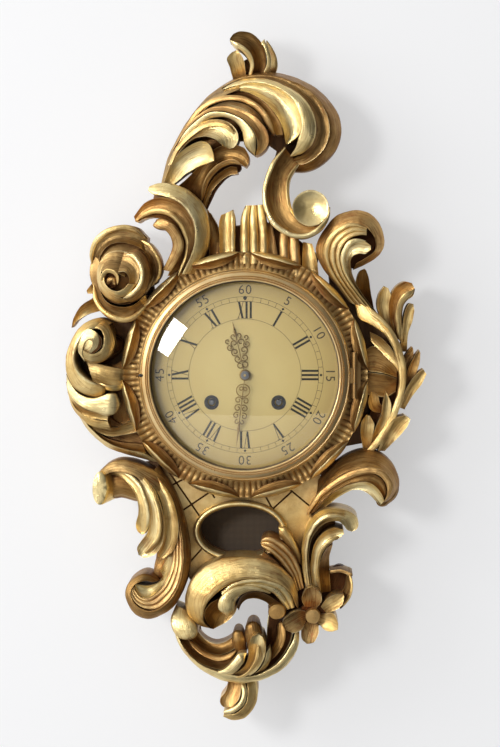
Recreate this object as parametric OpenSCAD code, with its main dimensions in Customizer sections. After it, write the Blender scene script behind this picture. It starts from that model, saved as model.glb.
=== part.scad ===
// Carved giltwood wall clock of the cartel kind, in mm.
// The dial axis meets the wall at the origin. X is to the right, Z is up, the front faces -Y.
// Every module is drawn as seen from the front, [x, up, depth in front of the wall], and turned once at the end.
// Carving is drawn on a 1:1 sheet: x to the right and y down from its upper left corner.

/* [Show] */
// Piece to show, or all

/* [Sheet] */
// Dial centre on the drawing sheet
sheet_centre = [245, 375];

/* [Depths in front of the wall] */
// Back of the ground board
ground_back = 30;
// Back of the carving, which is the front of the ground board
carving_back = 40;
// Front of the trellis board under the dial
apron_front = 60;
// Ledge that the dial plate rests on
dial_back = 72;
// Seat that the bezel closes on
bezel_seat = 77;

/* [Bezel] */
bezel_radius = 105.5;
// Width of the bezel from its edge to the glass in sight
bezel_width = 11;
glass_sight_radius = bezel_radius - bezel_width;
glass_thickness = 2;
// Height of the glass crown above its edge
glass_rise = 13;
bezel_height = 15;
// Room between the closed bezel and its seat
bezel_gap = 0.3;
// Hinge axis beyond the bezel's edge, and before its seat
hinge_out = 4;
hinge_rise = 9;
hinge_x = bezel_radius + hinge_out;
hinge_depth = bezel_seat + hinge_rise;
hinge_knuckle_radius = 2.6;
hinge_pin_radius = 1.2;
hinge_fit = 0.05;
hinge_length = 46;
// End play between two knuckles
hinge_play = 0.3;

/* [Dial] */
// How far the dial plate reaches behind the bezel
dial_overlap = 3;
dial_radius = glass_sight_radius + dial_overlap;
dial_thickness = 2;
// Fit between the dial plate and the surround
dial_fit = 0.4;
// Width of the ledge behind the dial plate
dial_ledge = 5.5;
winding_x = 33.5;
winding_up = -27.5;
winding_hole_radius = 6.5;
// Wall of the black collar in a winding hole
grommet_wall = 2.6;

/* [Surround] */
// Width of the gadrooned cove, and of the petals beyond it
cove_width = 10;
petal_width = 8.5;
cove_radius = bezel_radius + cove_width;
petal_radius = cove_radius + petal_width;
// Radius of the petals on the drawing sheet, which all the carving is drawn around
sheet_petal_radius = 124;
carving_scale = petal_radius / sheet_petal_radius;
// Room between the turned pieces and the carving beside them
carving_fit = 0.06;
petals = 12;

/* [Case] */
case_radius = 100;
case_wall = 6;
cover_thickness = 2;
board_screw_radius = 2.5;
hanger_width = 44;
// How far the hanger plate stands above the case, and how far it reaches down it
hanger_rise = 28;
hanger_lap = 30;
hanger_top = case_radius + hanger_rise;
hanger_low = case_radius - hanger_lap;
hanger_hole_up = case_radius + hanger_rise / 2;
hanger_hole_radius = 5;

/* [Sound opening] */
opening_centre = [240, 533];
opening_radii = [41, 25];
opening_rim = 6.5;
cloth_thickness = 1;

/* [Movement] */
plate_half_width = 62;
plate_half_height = 56;
plate_thickness = 2;
back_plate_back = 24;
front_plate_back = 62;
pillar_radius = 3.5;
pillar_x = 56;
pillar_up = 51;
arbor_radius = 1.2;
// Room round an arbor in its plate
arbor_fit = 0.05;
barrel_radius = 22;
winding_arbor_radius = 3;
// Across the flats of a winding square
winding_square = 4.2;

/* [Going train: teeth and modules] */
barrel_teeth = 80;
barrel_module = 0.65;
barrel_pinion = 10;
middle_teeth = 60;
middle_module = 0.64;
middle_pinion = 10;
centre_teeth = 96;
fine_module = 0.4;
fine_pinion = 8;
third_teeth = 90;
escape_teeth = 40;
escape_radius = 9.5;
escape_up = 30;
anchor_up = 45;

/* [Motion work: teeth and modules] */
cannon_teeth = 12;
cannon_module = 0.5;
minute_teeth = 36;
minute_pinion = 10;
hour_teeth = 40;
hour_module = 0.48;

/* [Pendulum and gong] */
pendulum_length = 110;
bob_radius = 18;
gong_radius = 74;
gong_wire = 3;
hammer_x = -46;
hammer_up = 26;

gold = "#c9a24a";
old_gold = "#a87f37";
brass = "#cfae5e";
steel = "#8d9196";
wood = "#7a5632";
dark = "#2b2320";

$fn = 48;

// Helpers for depth
module slab(from, to) {
    translate([0, 0, from]) linear_extrude(to - from) children();
}

module rod(radius, from, to) {
    translate([0, 0, from]) cylinder(r = radius, h = to - from);
}

module tube(outer, inner, from, to) {
    difference() {
        rod(outer, from, to);
        rod(inner, from - 1, to + 1);
    }
}

// Carved lobes: a spine of [sheet x, sheet y, half width, front depth] swept with a rounded back
lobe_section = [[-1, 0.5], [-0.42, 1], [0.42, 1], [1, 0.5]];
lobe_back_share = 0.82;

function unit(v) = v / norm(v);

function curve(a, b, c, d, t) =
    0.5 * (2 * b + (c - a) * t + (2 * a - 5 * b + 4 * c - d) * t * t + (3 * b - a - 3 * c + d) * t * t * t);

function spline(p, steps) = [
    for (i = [0 : len(p) - 2]) for (j = [0 : steps - 1])
        curve(p[max(i - 1, 0)], p[i], p[i + 1], p[min(i + 2, len(p) - 1)], j / steps),
    p[len(p) - 1]
];

// A rounded end beyond the last station, as long as it is wide
function tipped(p) = let (
    last = p[len(p) - 1],
    before = p[len(p) - 2],
    along = unit([last[0] - before[0], last[1] - before[1]]),
    w = last[2]
) concat(p, [[last[0] + along[0] * w * 0.8, last[1] + along[1] * w * 0.8, w * 0.5, last[3] - w * 0.25]]);

function heading(p, i) = let (
    a = p[max(i - 1, 0)],
    b = p[min(i + 1, len(p) - 1)]
) unit([b[0] - a[0], a[1] - b[1]]);

// A sheet point as [x, up] from the dial's centre
function on_face(p) = [p[0] - sheet_centre[0], sheet_centre[1] - p[1]] * carving_scale;

function station(c, along, back) = let (
    side = [-along[1], along[0]] * c[2] * carving_scale,
    middle = on_face(c)
) concat(
    [for (q = lobe_section)
        [middle[0] + side[0] * q[0], middle[1] + side[1] * q[0], back + (c[3] - back) * q[1]]],
    [for (s = [1, -1])
        [middle[0] + side[0] * s * lobe_back_share, middle[1] + side[1] * s * lobe_back_share, back]]
);

module skin(points) {
    hull() polyhedron(points = points, faces = [[for (i = [0 : len(points) - 1]) i]]);
}

module lobe(spine, steps = 1, back = carving_back, tip = true) {
    p = spline(tip ? tipped(spine) : spine, steps);
    rings = [for (i = [0 : len(p) - 1]) station(p[i], heading(p, i), back)];
    for (i = [0 : len(p) - 2]) skin(concat(rings[i], rings[i + 1]));
}

// A spine moved sideways by a share of its half width, narrowed and lowered
function beside(spine, share, width, drop) = [
    for (i = [0 : len(spine) - 1]) let (
        along = heading(spine, i),
        c = spine[i]
    ) [c[0] - along[1] * share * c[2], c[1] - along[0] * share * c[2], c[2] * width, c[3] - drop]
];

// A hollow band between two raised edges
module trough(spine, drop = 8, steps = 1) {
    lobe(beside(spine, 0.8, 0.26, 0), steps);
    lobe(beside(spine, -0.8, 0.26, 0), steps);
    lobe(beside(spine, 0, 0.85, drop), steps);
}

module dome(centre, radius, front, crown = 0.6, back = carving_back) {
    wide = radius * carving_scale;
    translate(concat(on_face(centre), back)) hull() {
        cylinder(r = wide, h = (front - back) * 0.7, $fn = 20);
        cylinder(r = wide * crown, h = front - back, $fn = 20);
    }
}

// Room that the round parts take out of the carving
module surround_room() {
    slab(carving_back - 1, 130) petal_outline(carving_fit);
}

// Crest
module crest_leaf_solid() {
    trough([[214, 91, 4, 76], [250, 78, 6, 82], [280, 82, 9, 84], [305, 94, 12, 86], [321, 112, 13, 86],
        [327, 130, 13, 84], [324, 148, 12, 82], [311, 160, 9, 80], [296, 164, 6, 78]], 5);
    lobe([[205, 102, 3, 78], [230, 88, 6, 86], [255, 83, 8, 90], [275, 90, 9, 92], [292, 103, 9, 93],
        [303, 120, 8, 92], [306, 138, 7, 90], [300, 152, 6, 88], [290, 157, 4, 84]]);
    lobe([[222, 95, 4, 76], [245, 91, 8, 80], [268, 100, 9, 82], [284, 114, 9, 82], [289, 128, 7, 82],
        [285, 142, 3, 80]]);
    lobe([[195, 112, 4, 76], [215, 101, 6, 84], [235, 99, 7, 89], [252, 105, 8, 90], [265, 117, 7, 89],
        [273, 132, 4, 86]]);
    lobe([[180, 132, 4, 74], [195, 117, 6, 82], [215, 111, 8, 89], [235, 113, 9, 93], [248, 123, 11, 95],
        [256, 136, 12, 94], [256, 150, 8, 90]]);
    lobe([[168, 164, 5, 70], [182, 140, 8, 79], [200, 128, 10, 87], [217, 128, 11, 91], [229, 137, 8, 89]]);
    lobe([[170, 182, 6, 68], [183, 165, 9, 78], [198, 155, 10, 86], [207, 157, 6, 86]]);
    lobe([[204, 196, 6, 64], [208, 177, 9, 69], [222, 162, 9, 74], [238, 158, 7, 76]]);
    lobe([[205, 205, 6, 62], [212, 184, 8, 66], [226, 174, 6, 69]]);
    lobe([[178, 184, 8, 62], [196, 172, 14, 66], [212, 160, 16, 68], [232, 146, 18, 70], [262, 130, 18, 72]]);
}

module crest_plume_solid() {
    lobe([[257, 77, 10, 68], [258, 66, 10, 72], [255, 51, 10, 76], [245, 42, 8, 76], [234, 42, 4, 73]]);
    lobe([[239, 78, 8, 66], [237, 67, 9, 70], [234, 57, 6, 70]]);
    lobe([[269, 76, 7, 65], [271, 64, 6, 68], [268, 51, 4, 70], [265, 43, 2, 69]]);
    lobe([[235, 66, 7, 58], [254, 62, 9, 60], [270, 64, 6, 58]]);
}

module crest_s_scroll_solid() {
    trough([[287, 162, 9, 84], [278, 173, 12, 87], [275, 190, 13, 90], [279, 208, 13, 92], [289, 222, 12, 92],
        [304, 230, 9, 91], [318, 227, 6, 90], [327, 214, 4, 89]], 9);
    dome([310.5, 209], 18.5, 88, 0.75);
}

module crest_flutes_solid() {
    lobe([[210, 262, 6, 62], [211, 240, 6, 62], [209, 217, 4, 60]]);
    lobe([[219, 262, 6, 58], [220, 240, 6, 58], [218, 226, 4, 56]]);
    lobe([[228, 262, 6, 66], [227, 236, 6, 66], [226, 215, 4, 64]]);
    lobe([[237, 262, 6, 62], [238, 240, 6, 62], [237, 224, 4, 60]]);
    lobe([[247, 262, 6, 70], [247, 232, 6, 70], [247, 210, 4, 67]]);
    lobe([[257, 262, 7, 72], [256, 232, 7, 72], [256, 208, 5, 69]]);
    lobe([[267, 262, 6, 68], [266, 238, 6, 68], [265, 214, 4, 66]]);
    lobe([[278, 264, 7, 60], [276, 246, 7, 60], [274, 226, 6, 60]]);
    lobe([[289, 270, 8, 70], [288, 250, 7, 70], [286, 232, 5, 68]]);
    lobe([[300, 274, 7, 66], [298, 254, 7, 66], [297, 236, 5, 66]]);
    lobe([[312, 280, 7, 70], [309, 258, 6, 70], [307, 238, 5, 68]]);
    lobe([[202, 262, 6, 56], [206, 236, 7, 56], [203, 208, 7, 56]]);
    lobe([[240, 226, 9, 56], [262, 222, 12, 56], [290, 242, 16, 56], [318, 262, 12, 56]]);
    lobe([[202, 254, 10, 50], [225, 243, 14, 50], [250, 238, 14, 50], [278, 244, 14, 50], [306, 260, 12, 50]]);
}

// Shoulders
module left_shoulder_scroll_solid() {
    lobe([[187, 272, 7, 72], [199, 246, 8, 78], [200, 228, 8, 82], [195, 210, 8, 84], [184, 197, 8, 84],
        [168, 190, 7, 82], [150, 190, 5, 79]]);
    lobe([[180, 276, 6, 70], [189, 250, 8, 72], [190, 232, 9, 74], [184, 214, 10, 75], [171, 204, 10, 76],
        [155, 204, 9, 75], [142, 211, 8, 73], [137, 219, 5, 71]]);
    lobe([[171, 270, 7, 76], [177, 245, 8, 82], [171, 232, 8, 86], [161, 228, 6, 86]]);
}

module rose_solid() {
    lobe([[121, 272, 26, 84], [120, 252, 27, 92], [120, 246, 24, 90]]);
    lobe([[126, 272, 18, 82], [146, 262, 19, 88], [152, 260, 15, 86]]);
    lobe([[122, 276, 22, 82], [120, 296, 21, 88], [120, 301, 17, 86]]);
    lobe([[122, 272, 18, 82], [108, 270, 20, 90], [106, 270, 14, 88]]);
    lobe([[122, 274, 20, 90], [132, 276, 20, 99], [136, 277, 15, 98]]);
    lobe([[124, 268, 16, 90], [116, 266, 17, 101], [113, 266, 13, 100]]);
    lobe([[122, 282, 14, 90], [116, 286, 15, 102], [113, 287, 11, 101]]);
    dome([114, 278], 12, 105, 0.5);
}

module rose_leaves_solid() {
    lobe([[104, 304, 8, 66], [90, 304, 8, 73], [80, 311, 7, 76], [74, 321, 4, 74]]);
    lobe([[104, 284, 9, 62], [93, 289, 8, 68], [86, 294, 5, 69]]);
}

module right_shoulder_scroll_solid() {
    lobe([[341, 296, 6, 72], [326, 269, 8, 79], [322, 250, 8, 83], [330, 234, 9, 86], [345, 222, 9, 88],
        [362, 222, 9, 88], [373, 233, 9, 86], [376, 247, 8, 84], [369, 259, 6, 80]]);
    lobe([[356, 304, 6, 74], [342, 282, 7, 82], [335, 262, 7, 86], [335, 246, 7, 89], [344, 235, 6, 90],
        [357, 233, 5, 88]]);
    lobe([[377, 316, 6, 70], [360, 295, 9, 76], [347, 275, 10, 80], [344, 258, 10, 83], [350, 247, 9, 84],
        [360, 246, 6, 83]]);
    lobe([[374, 310, 5, 62], [367, 292, 7, 66], [364, 276, 5, 67]]);
}

// Right side branch
module right_leaf_branch_solid() {
    lobe([[368, 306, 7, 68], [385, 325, 7, 72], [394, 340, 7, 73], [399, 357, 6, 74], [401, 375, 6, 74],
        [399, 395, 6, 73], [394, 410, 6, 72], [387, 425, 6, 72], [377, 441, 6, 71], [366, 454, 6, 70]]);
    lobe([[357, 312, 8, 66], [372, 320, 10, 70], [385, 334, 10, 72], [393, 352, 7, 72]]);
    lobe([[374, 341, 6, 64], [384, 349, 6, 67], [393, 362, 6, 68]]);
    lobe([[390, 330, 5, 66], [382, 308, 7, 72], [384, 292, 5, 70]]);
    lobe([[395, 338, 6, 68], [392, 313, 7, 74], [397, 298, 7, 77], [405, 290, 7, 76]]);
    lobe([[400, 350, 5, 66], [403, 326, 6, 71], [409, 309, 4, 70]]);
    lobe([[400, 378, 5, 66], [410, 366, 6, 70], [416, 355, 5, 70]]);
    lobe([[398, 372, 5, 62], [405, 357, 5, 65], [410, 351, 4, 65]]);
    lobe([[397, 404, 5, 66], [411, 386, 7, 71], [419, 376, 6, 71]]);
    lobe([[380, 448, 7, 66], [394, 430, 9, 72], [402, 421, 7, 71]]);
    lobe([[366, 446, 6, 64], [366, 430, 7, 69], [368, 419, 5, 68]]);
    lobe([[371, 447, 5, 68], [378, 430, 8, 75], [384, 409, 7, 77], [386, 397, 4, 75]]);
    lobe([[384, 412, 5, 60], [377, 404, 7, 63], [373, 398, 6, 64]]);
    lobe([[384, 352, 12, 56], [393, 372, 11, 56], [390, 396, 11, 56], [380, 420, 12, 56]]);
}

// Left side C scroll
module left_c_scroll_solid() {
    lobe([[116, 330, 7, 82], [102, 323, 7, 86], [86, 328, 7, 88], [77, 341, 7, 88], [73, 357, 7, 87],
        [76, 372, 7, 86], [86, 382, 7, 86], [99, 385, 7, 86]]);
    lobe([[116, 336, 7, 84], [113, 350, 8, 87], [104, 357, 7, 88], [95, 359, 6, 88]]);
    dome([89, 347], 14, 94, 0.7);
    lobe([[69, 368, 5, 78], [75, 391, 8, 82], [90, 401, 9, 85], [104, 404, 10, 86], [112, 405, 10, 86]]);
    lobe([[71, 392, 5, 76], [85, 411, 7, 80], [100, 417, 8, 82], [109, 418, 6, 81]]);
    lobe([[78, 408, 6, 74], [94, 424, 8, 77], [116, 428, 9, 78], [136, 430, 10, 74]]);
    lobe([[72, 398, 6, 76], [81, 416, 6, 78], [93, 433, 6, 79], [109, 446, 6, 79], [128, 452, 7, 77],
        [148, 458, 8, 74]]);
    lobe([[100, 376, 13, 72], [120, 376, 13, 72], [134, 376, 12, 70]]);
    lobe([[118, 428, 18, 60], [136, 426, 18, 60], [150, 440, 18, 60]]);
}

// Lower left leaf
module left_lower_acanthus_solid() {
    lobe([[100, 478, 8, 84], [100, 490, 9, 84], [100, 496, 8, 84]]);
    lobe([[108, 486, 15, 70], [120, 484, 16, 70], [136, 486, 16, 68]]);
    lobe([[112, 468, 6, 82], [125, 473, 8, 85], [136, 487, 8, 88], [143, 505, 8, 88], [144, 524, 6, 85]]);
    lobe([[125, 467, 6, 84], [140, 478, 7, 88], [151, 497, 8, 92], [156, 517, 9, 93], [155, 535, 9, 91],
        [147, 548, 6, 87]]);
    lobe([[138, 470, 6, 82], [153, 485, 7, 85], [163, 505, 8, 88], [168, 527, 8, 88], [166, 548, 6, 84]]);
    lobe([[160, 468, 8, 74], [169, 495, 8, 78], [180, 522, 9, 83], [183, 550, 10, 86], [180, 575, 11, 88],
        [169, 597, 12, 90], [152, 605, 12, 91], [137, 599, 9, 91], [133, 587, 7, 91], [142, 580, 6, 90]]);
    lobe([[112, 461, 5, 76], [138, 466, 6, 78], [160, 470, 8, 74]]);
    lobe([[166, 536, 14, 66], [172, 556, 16, 66], [168, 574, 15, 66]]);
}

// Lower right scroll and leaf
module right_lower_scroll_solid() {
    trough([[312, 505, 7, 82], [320, 492, 8, 84], [336, 477, 9, 86], [355, 466, 10, 88], [374, 461, 11, 89],
        [387, 468, 10, 89], [391, 482, 8, 88], [384, 494, 6, 85]], 7);
    lobe([[318, 502, 7, 80], [330, 491, 7, 85], [346, 485, 7, 88], [362, 484, 7, 89], [374, 491, 6, 88]]);
    lobe([[322, 478, 10, 62], [345, 474, 14, 62], [366, 474, 14, 62]]);
}

module right_lower_acanthus_solid() {
    lobe([[308, 586, 7, 80], [306, 556, 8, 84], [310, 533, 9, 88], [322, 517, 9, 91], [338, 511, 9, 92],
        [350, 516, 6, 89]]);
    lobe([[316, 586, 7, 78], [315, 559, 8, 82], [320, 542, 8, 85], [331, 533, 7, 86], [339, 534, 4, 84]]);
    lobe([[322, 586, 7, 72], [323, 567, 7, 76], [328, 551, 5, 77]]);
    lobe([[303, 584, 6, 72], [302, 550, 6, 76], [304, 520, 6, 78], [309, 507, 6, 78]]);
    lobe([[302, 582, 6, 78], [291, 562, 8, 82], [279, 549, 9, 84], [268, 543, 6, 82]]);
    lobe([[301, 552, 5, 72], [291, 538, 6, 75], [282, 530, 4, 75]]);
    lobe([[312, 560, 14, 62], [318, 540, 14, 62], [326, 528, 12, 62]]);
}

module base_leaf_cup_solid() {
    difference() {
        union() {
            lobe([[330, 600, 9, 78], [336, 588, 12, 84], [339, 580, 11, 87]]);
            lobe([[322, 596, 8, 74], [328, 584, 9, 80]]);
        }
        lobe([[337, 588, 6, 100], [338, 580, 8, 100]], back = 70);
    }
}

// Base
module base_flower_solid() {
    lobe([[316, 614, 9, 84], [312, 602, 11, 92], [311, 600, 9, 91]]);
    lobe([[316, 614, 9, 84], [327, 605, 11, 92], [329, 603, 9, 91]]);
    lobe([[316, 614, 9, 84], [326, 617, 10, 91], [329, 618, 8, 90]]);
    lobe([[316, 614, 9, 84], [311, 627, 10, 90], [310, 630, 8, 89]]);
    lobe([[316, 614, 9, 84], [301, 616, 11, 91], [299, 617, 9, 90]]);
    dome([316, 614], 9, 98, 0.6);
}

module base_c_scroll_solid() {
    trough([[294, 598, 9, 84], [286, 583, 12, 88], [270, 571, 13, 91], [250, 567, 13, 93], [226, 570, 14, 94],
        [207, 583, 14, 94], [198, 601, 13, 92], [203, 616, 10, 90], [214, 622, 7, 88]], 8);
    lobe([[280, 597, 7, 82], [266, 589, 8, 86], [248, 587, 8, 89], [233, 593, 7, 90], [227, 604, 5, 89]]);
    dome([276, 611], 10, 88, 0.6);
    lobe([[284, 602, 9, 70], [272, 606, 9, 72]]);
    lobe([[200, 604, 10, 66], [214, 610, 12, 66], [222, 606, 10, 66]]);
}

module base_crescent_solid() {
    lobe([[184, 616, 12, 82], [182, 632, 10, 84], [189, 650, 9, 85], [202, 664, 8, 85], [218, 674, 7, 84],
        [236, 678, 6, 83], [255, 676, 6, 83], [273, 667, 7, 83], [286, 652, 7, 84], [293, 636, 7, 84],
        [292, 624, 6, 82]]);
    lobe([[196, 650, 8, 74], [212, 657, 9, 76], [228, 657, 8, 77], [237, 645, 7, 77], [238, 636, 5, 76]]);
    lobe([[210, 673, 6, 82], [226, 671, 7, 86], [238, 662, 7, 88], [244, 652, 5, 87]]);
    lobe([[222, 679, 6, 80], [240, 672, 8, 86], [253, 656, 9, 90], [257, 641, 8, 90], [256, 634, 5, 88]]);
    lobe([[242, 680, 5, 76], [258, 671, 7, 80], [266, 657, 6, 82], [268, 649, 3, 81]]);
    lobe([[253, 648, 7, 72], [253, 634, 9, 74], [253, 628, 8, 74]]);
}

module base_drop_solid() {
    lobe([[236, 674, 7, 70], [235, 692, 7, 74], [229, 702, 5, 74]]);
    lobe([[252, 674, 8, 72], [253, 696, 8, 77], [247, 709, 8, 79], [234, 715, 6, 78], [227, 714, 4, 76]]);
    lobe([[244, 676, 9, 66], [245, 696, 8, 68], [238, 706, 7, 68]]);
}

// Wooden pieces round the dial
module dial_surround() {
    ledge = dial_radius + dial_fit;
    difference() {
        rotate_extrude($fn = 96) polygon([
            [ledge - dial_ledge, carving_back], [cove_radius, carving_back], [cove_radius, bezel_seat - 1],
            [cove_radius - 2, bezel_seat], [cove_radius - 5, bezel_seat - 5], [bezel_radius + 2.5, bezel_seat - 5],
            [bezel_radius + 1, bezel_seat], [ledge, bezel_seat], [ledge, dial_back], [ledge - dial_ledge, dial_back]
        ]);
        hinge_room();
        dial_screw_places() rod(dial_screw_radius, dial_back - 8, dial_back + 1);
    }
}

dial_screw_radius = 1.1;
dial_screw_circle = dial_radius - 1.5;

module dial_screw_places() {
    for (a = [45 : 90 : 315]) rotate(a) translate([dial_screw_circle, 0, 0]) children();
}

module hinge_room() {
    translate([bezel_radius - 2.5, -hinge_length / 2 - 0.2, bezel_seat - 2])
        cube([20, hinge_length + 0.4, 40]);
}

// The scalloped edge is made of round arcs that meet at the seams
petal_arc = 0.4 * petal_radius;

module petal_outline(grow = 0) {
    for (i = [0 : petals - 1])
        rotate((i + 0.5) * 360 / petals) translate([petal_radius - petal_arc, 0])
            circle(r = petal_arc + grow, $fn = 96);
    circle(r = cove_radius + grow, $fn = 96);
}

module surround_petals() {
    difference() {
        slab(carving_back, bezel_seat + 2) petal_outline();
        rod(cove_radius, 0, 200, $fn = 96);
        hinge_room();
    }
}

module ground_board() {
    difference() {
        union() {
            rod(cove_radius - 2, ground_back, carving_back, $fn = 96);
            for (arm = ground_arms) slab(ground_back, carving_back) sheet_shape(arm);
        }
        rod(dial_radius + dial_fit - dial_ledge, 0, 100);
        slab(ground_back - 1, carving_back + 1) opening_shape(0);
    }
}

module sheet_shape(points) {
    polygon([for (p = points) on_face(p)]);
}

// Arms of the board behind each group of carving, as sheet outlines
ground_arms = [
    [[268, 285], [268, 200], [270, 172], [276, 150], [262, 140], [240, 140], [212, 150], [192, 168], [184, 164],
        [186, 146], [206, 114], [240, 92], [272, 85], [302, 98], [322, 128], [314, 152], [294, 160], [284, 174],
        [284, 200], [288, 285]],
    [[176, 300], [184, 238], [176, 216], [160, 207], [150, 204], [152, 194], [180, 200], [194, 214], [196, 236],
        [194, 300]],
    [[156, 310], [146, 256], [136, 240], [120, 236], [106, 246], [102, 290], [84, 302], [82, 310], [110, 310],
        [104, 326], [84, 332], [76, 360], [79, 396], [96, 426], [126, 446], [170, 464]],
    [[160, 462], [128, 468], [142, 486], [158, 506], [171, 540], [174, 574], [163, 594], [150, 600], [170, 602],
        [184, 576], [200, 580], [214, 586], [250, 578], [286, 586], [308, 580], [308, 462]],
    [[330, 292], [326, 250], [345, 228], [366, 230], [374, 246], [352, 250], [352, 280], [374, 308], [391, 335],
        [397, 375], [390, 410], [372, 444], [340, 450]],
    [[300, 466], [325, 486], [345, 474], [372, 462], [388, 474], [380, 490], [348, 488], [324, 502], [324, 520],
        [344, 512], [330, 526], [320, 560], [322, 590], [318, 622], [304, 624], [300, 500]],
    [[190, 622], [196, 596], [210, 578], [230, 568], [256, 568], [282, 576], [300, 598], [308, 618], [292, 622],
        [272, 602], [250, 592], [234, 596], [224, 610], [206, 618]],
    [[180, 622], [196, 658], [225, 676], [236, 680], [236, 704], [246, 704], [248, 680], [256, 674], [282, 658],
        [294, 634], [300, 610], [286, 610], [282, 640], [264, 656], [240, 664], [215, 656], [200, 644], [196, 616]]
];

module opening_shape(grow) {
    radii = opening_radii * carving_scale;
    translate(on_face(opening_centre)) scale([(radii[0] + grow) / radii[1], (radii[1] + grow) / radii[1]])
        circle(r = radii[1], $fn = rim_steps);
}

module apron_solid() {
    slab(carving_back, apron_front)
        sheet_shape([[152, 470], [206, 470], [290, 470], [320, 470], [322, 500], [312, 520], [312, 580], [286, 590],
            [250, 582], [214, 590], [190, 584], [174, 560], [166, 520]]);
}

// Incised trellis lines on the apron, each from one sheet point to another
trellis_width = 1.5;
trellis_depth = 1.2;
trellis_lines = [
    [[160, 493], [206, 468]], [[178, 515], [212, 492]], [[168, 474], [202, 523]], [[186, 568], [204, 548]],
    [[196, 470], [214, 500]], [[268, 515], [292, 493]], [[286, 488], [310, 508]], [[262, 492], [274, 514]]
];

module trellis_cut(line) {
    run = on_face(line[1]) - on_face(line[0]);
    translate(concat(on_face(line[0]), apron_front - trellis_depth))
        rotate(atan2(run[1], run[0])) translate([0, -trellis_width / 2, 0])
            cube([norm(run), trellis_width, trellis_depth + 1]);
}

module apron_board() {
    difference() {
        apron_solid();
        surround_room();
        for (line = trellis_lines) trellis_cut(line);
        slab(carving_back - 1, apron_front + 1) opening_shape(opening_rim);
    }
}

module aperture_rim() {
    for (i = [0 : rim_steps - 1])
        skin(concat(rim_station(i * 360 / rim_steps), rim_station((i + 1) * 360 / rim_steps)));
}

// Room that the board and its rim take out of the carving over them
module board_room() {
    apron_solid();
    aperture_rim();
}

// One cross section of the moulded rim, as [out from the opening, depth]
rim_steps = 32;
rim_section = [[0, 66], [opening_rim / 2, 70], [opening_rim, 66], [opening_rim, carving_back], [0, carving_back]];

function rim_station(a) = let (middle = on_face(opening_centre), radii = opening_radii * carving_scale) [
    for (q = rim_section) [middle[0] + (radii[0] + q[0]) * cos(a), middle[1] + (radii[1] + q[0]) * sin(a), q[1]]
];

module sound_cloth() {
    slab(ground_back - cloth_thickness, ground_back) opening_shape(6);
}

// Case
module movement_case() {
    difference() {
        tube(case_radius, case_radius - case_wall, cover_thickness, ground_back);
        cover_screw_places() rod(board_screw_radius - 1, 0, 12);
        hanger_screw_places() rod(board_screw_radius - 1, 0, 12);
    }
}

module cover_screw_places() {
    for (a = [0 : 60 : 300]) rotate(a) translate([case_radius - case_wall / 2, 0, 0]) children();
}

module hanger_screw_places() {
    for (x = [-12, 12]) translate([x, sqrt(pow(case_radius - case_wall / 2, 2) - 144), 0]) children();
}

// A countersunk screw that lies flush with the back
module screw_room() {
    rod(board_screw_radius - 1, 0, 12);
    translate([0, 0, -0.5]) cylinder(r1 = board_screw_radius + 0.5, r2 = board_screw_radius - 1, h = 1.5);
}

module rear_cover() {
    difference() {
        rod(case_radius, 0, cover_thickness);
        cover_screw_places() screw_room();
        for (a = [-60 : 30 : 60]) rotate(a) translate([0, -70, -1]) rod(5, 0, 5);
        slab(-1, 5) translate([-hanger_width / 2 - carving_fit, hanger_low])
            square([hanger_width + 2 * carving_fit, hanger_lap + hanger_rise + 2]);
    }
}

module case_screws() {
    difference() {
        union() {
            cover_screw_places() screw_room();
            hanger_screw_places() screw_room();
        }
        rod(case_radius + 5, -2, 0);
        cover_screw_places() translate([-2, -0.4, -1]) cube([4, 0.8, 1.5]);
        hanger_screw_places() translate([-2, -0.4, -1]) cube([4, 0.8, 1.5]);
    }
}

module hanger_plate() {
    difference() {
        slab(0, cover_thickness) translate([-hanger_width / 2, hanger_low])
            square([hanger_width, hanger_top - hanger_low]);
        translate([0, hanger_hole_up, 0]) rod(hanger_hole_radius, -1, 5);
        hanger_screw_places() screw_room();
    }
}

// Bezel with its glass
glass_edge_depth = bezel_seat + 6;
glass_edge_radius = glass_sight_radius + 3.5;
glass_ball = (glass_edge_radius * glass_edge_radius + glass_rise * glass_rise) / (2 * glass_rise);

// Depth of the front of the glass at a radius
function glass_at(r) = glass_edge_depth + glass_rise - glass_ball + sqrt(glass_ball * glass_ball - r * r);

bezel_bore = glass_edge_radius + 0.2;

module bezel_ring() {
    low = bezel_seat + bezel_gap;
    lip = glass_at(glass_sight_radius);
    difference() {
        union() {
            rotate_extrude($fn = 96) polygon([
                [bezel_bore, low], [bezel_radius, low], [bezel_radius, low + 6],
                [bezel_radius - 2.5, low + 11], [bezel_radius - 5, low + bezel_height],
                [bezel_radius - 8, low + bezel_height], [glass_sight_radius, lip + 2],
                [glass_sight_radius, lip], [bezel_bore, lip]
            ]);
            knuckle(-0.5, 0.5);
            translate([bezel_radius - 3.5, -hinge_length / 6 + hinge_play / 2, hinge_depth - 2])
                cube([hinge_x - bezel_radius + 3.5, hinge_length / 3 - hinge_play, 2]);
        }
        hinge_bore();
        rotate([0, 0, 180]) translate([bezel_radius - 3, 0, low + 3]) rotate([0, 90, 0]) cylinder(r = 1, h = 4);
        for (s = [1, -1]) translate([hinge_x, s * hinge_length / 3, hinge_depth]) rotate([90, 0, 0])
            cylinder(r = hinge_knuckle_radius + 0.4, h = hinge_length / 3 + hinge_play, center = true);
    }
}

module knuckle(from, to) {
    translate([hinge_x, from * hinge_length / 3 + hinge_play / 2, hinge_depth]) rotate([-90, 0, 0])
        cylinder(r = hinge_knuckle_radius, h = (to - from) * hinge_length / 3 - hinge_play);
}

module hinge_bore() {
    translate([hinge_x, 0, hinge_depth]) rotate([90, 0, 0])
        cylinder(r = hinge_pin_radius + hinge_fit, h = hinge_length + 4, center = true);
}

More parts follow.
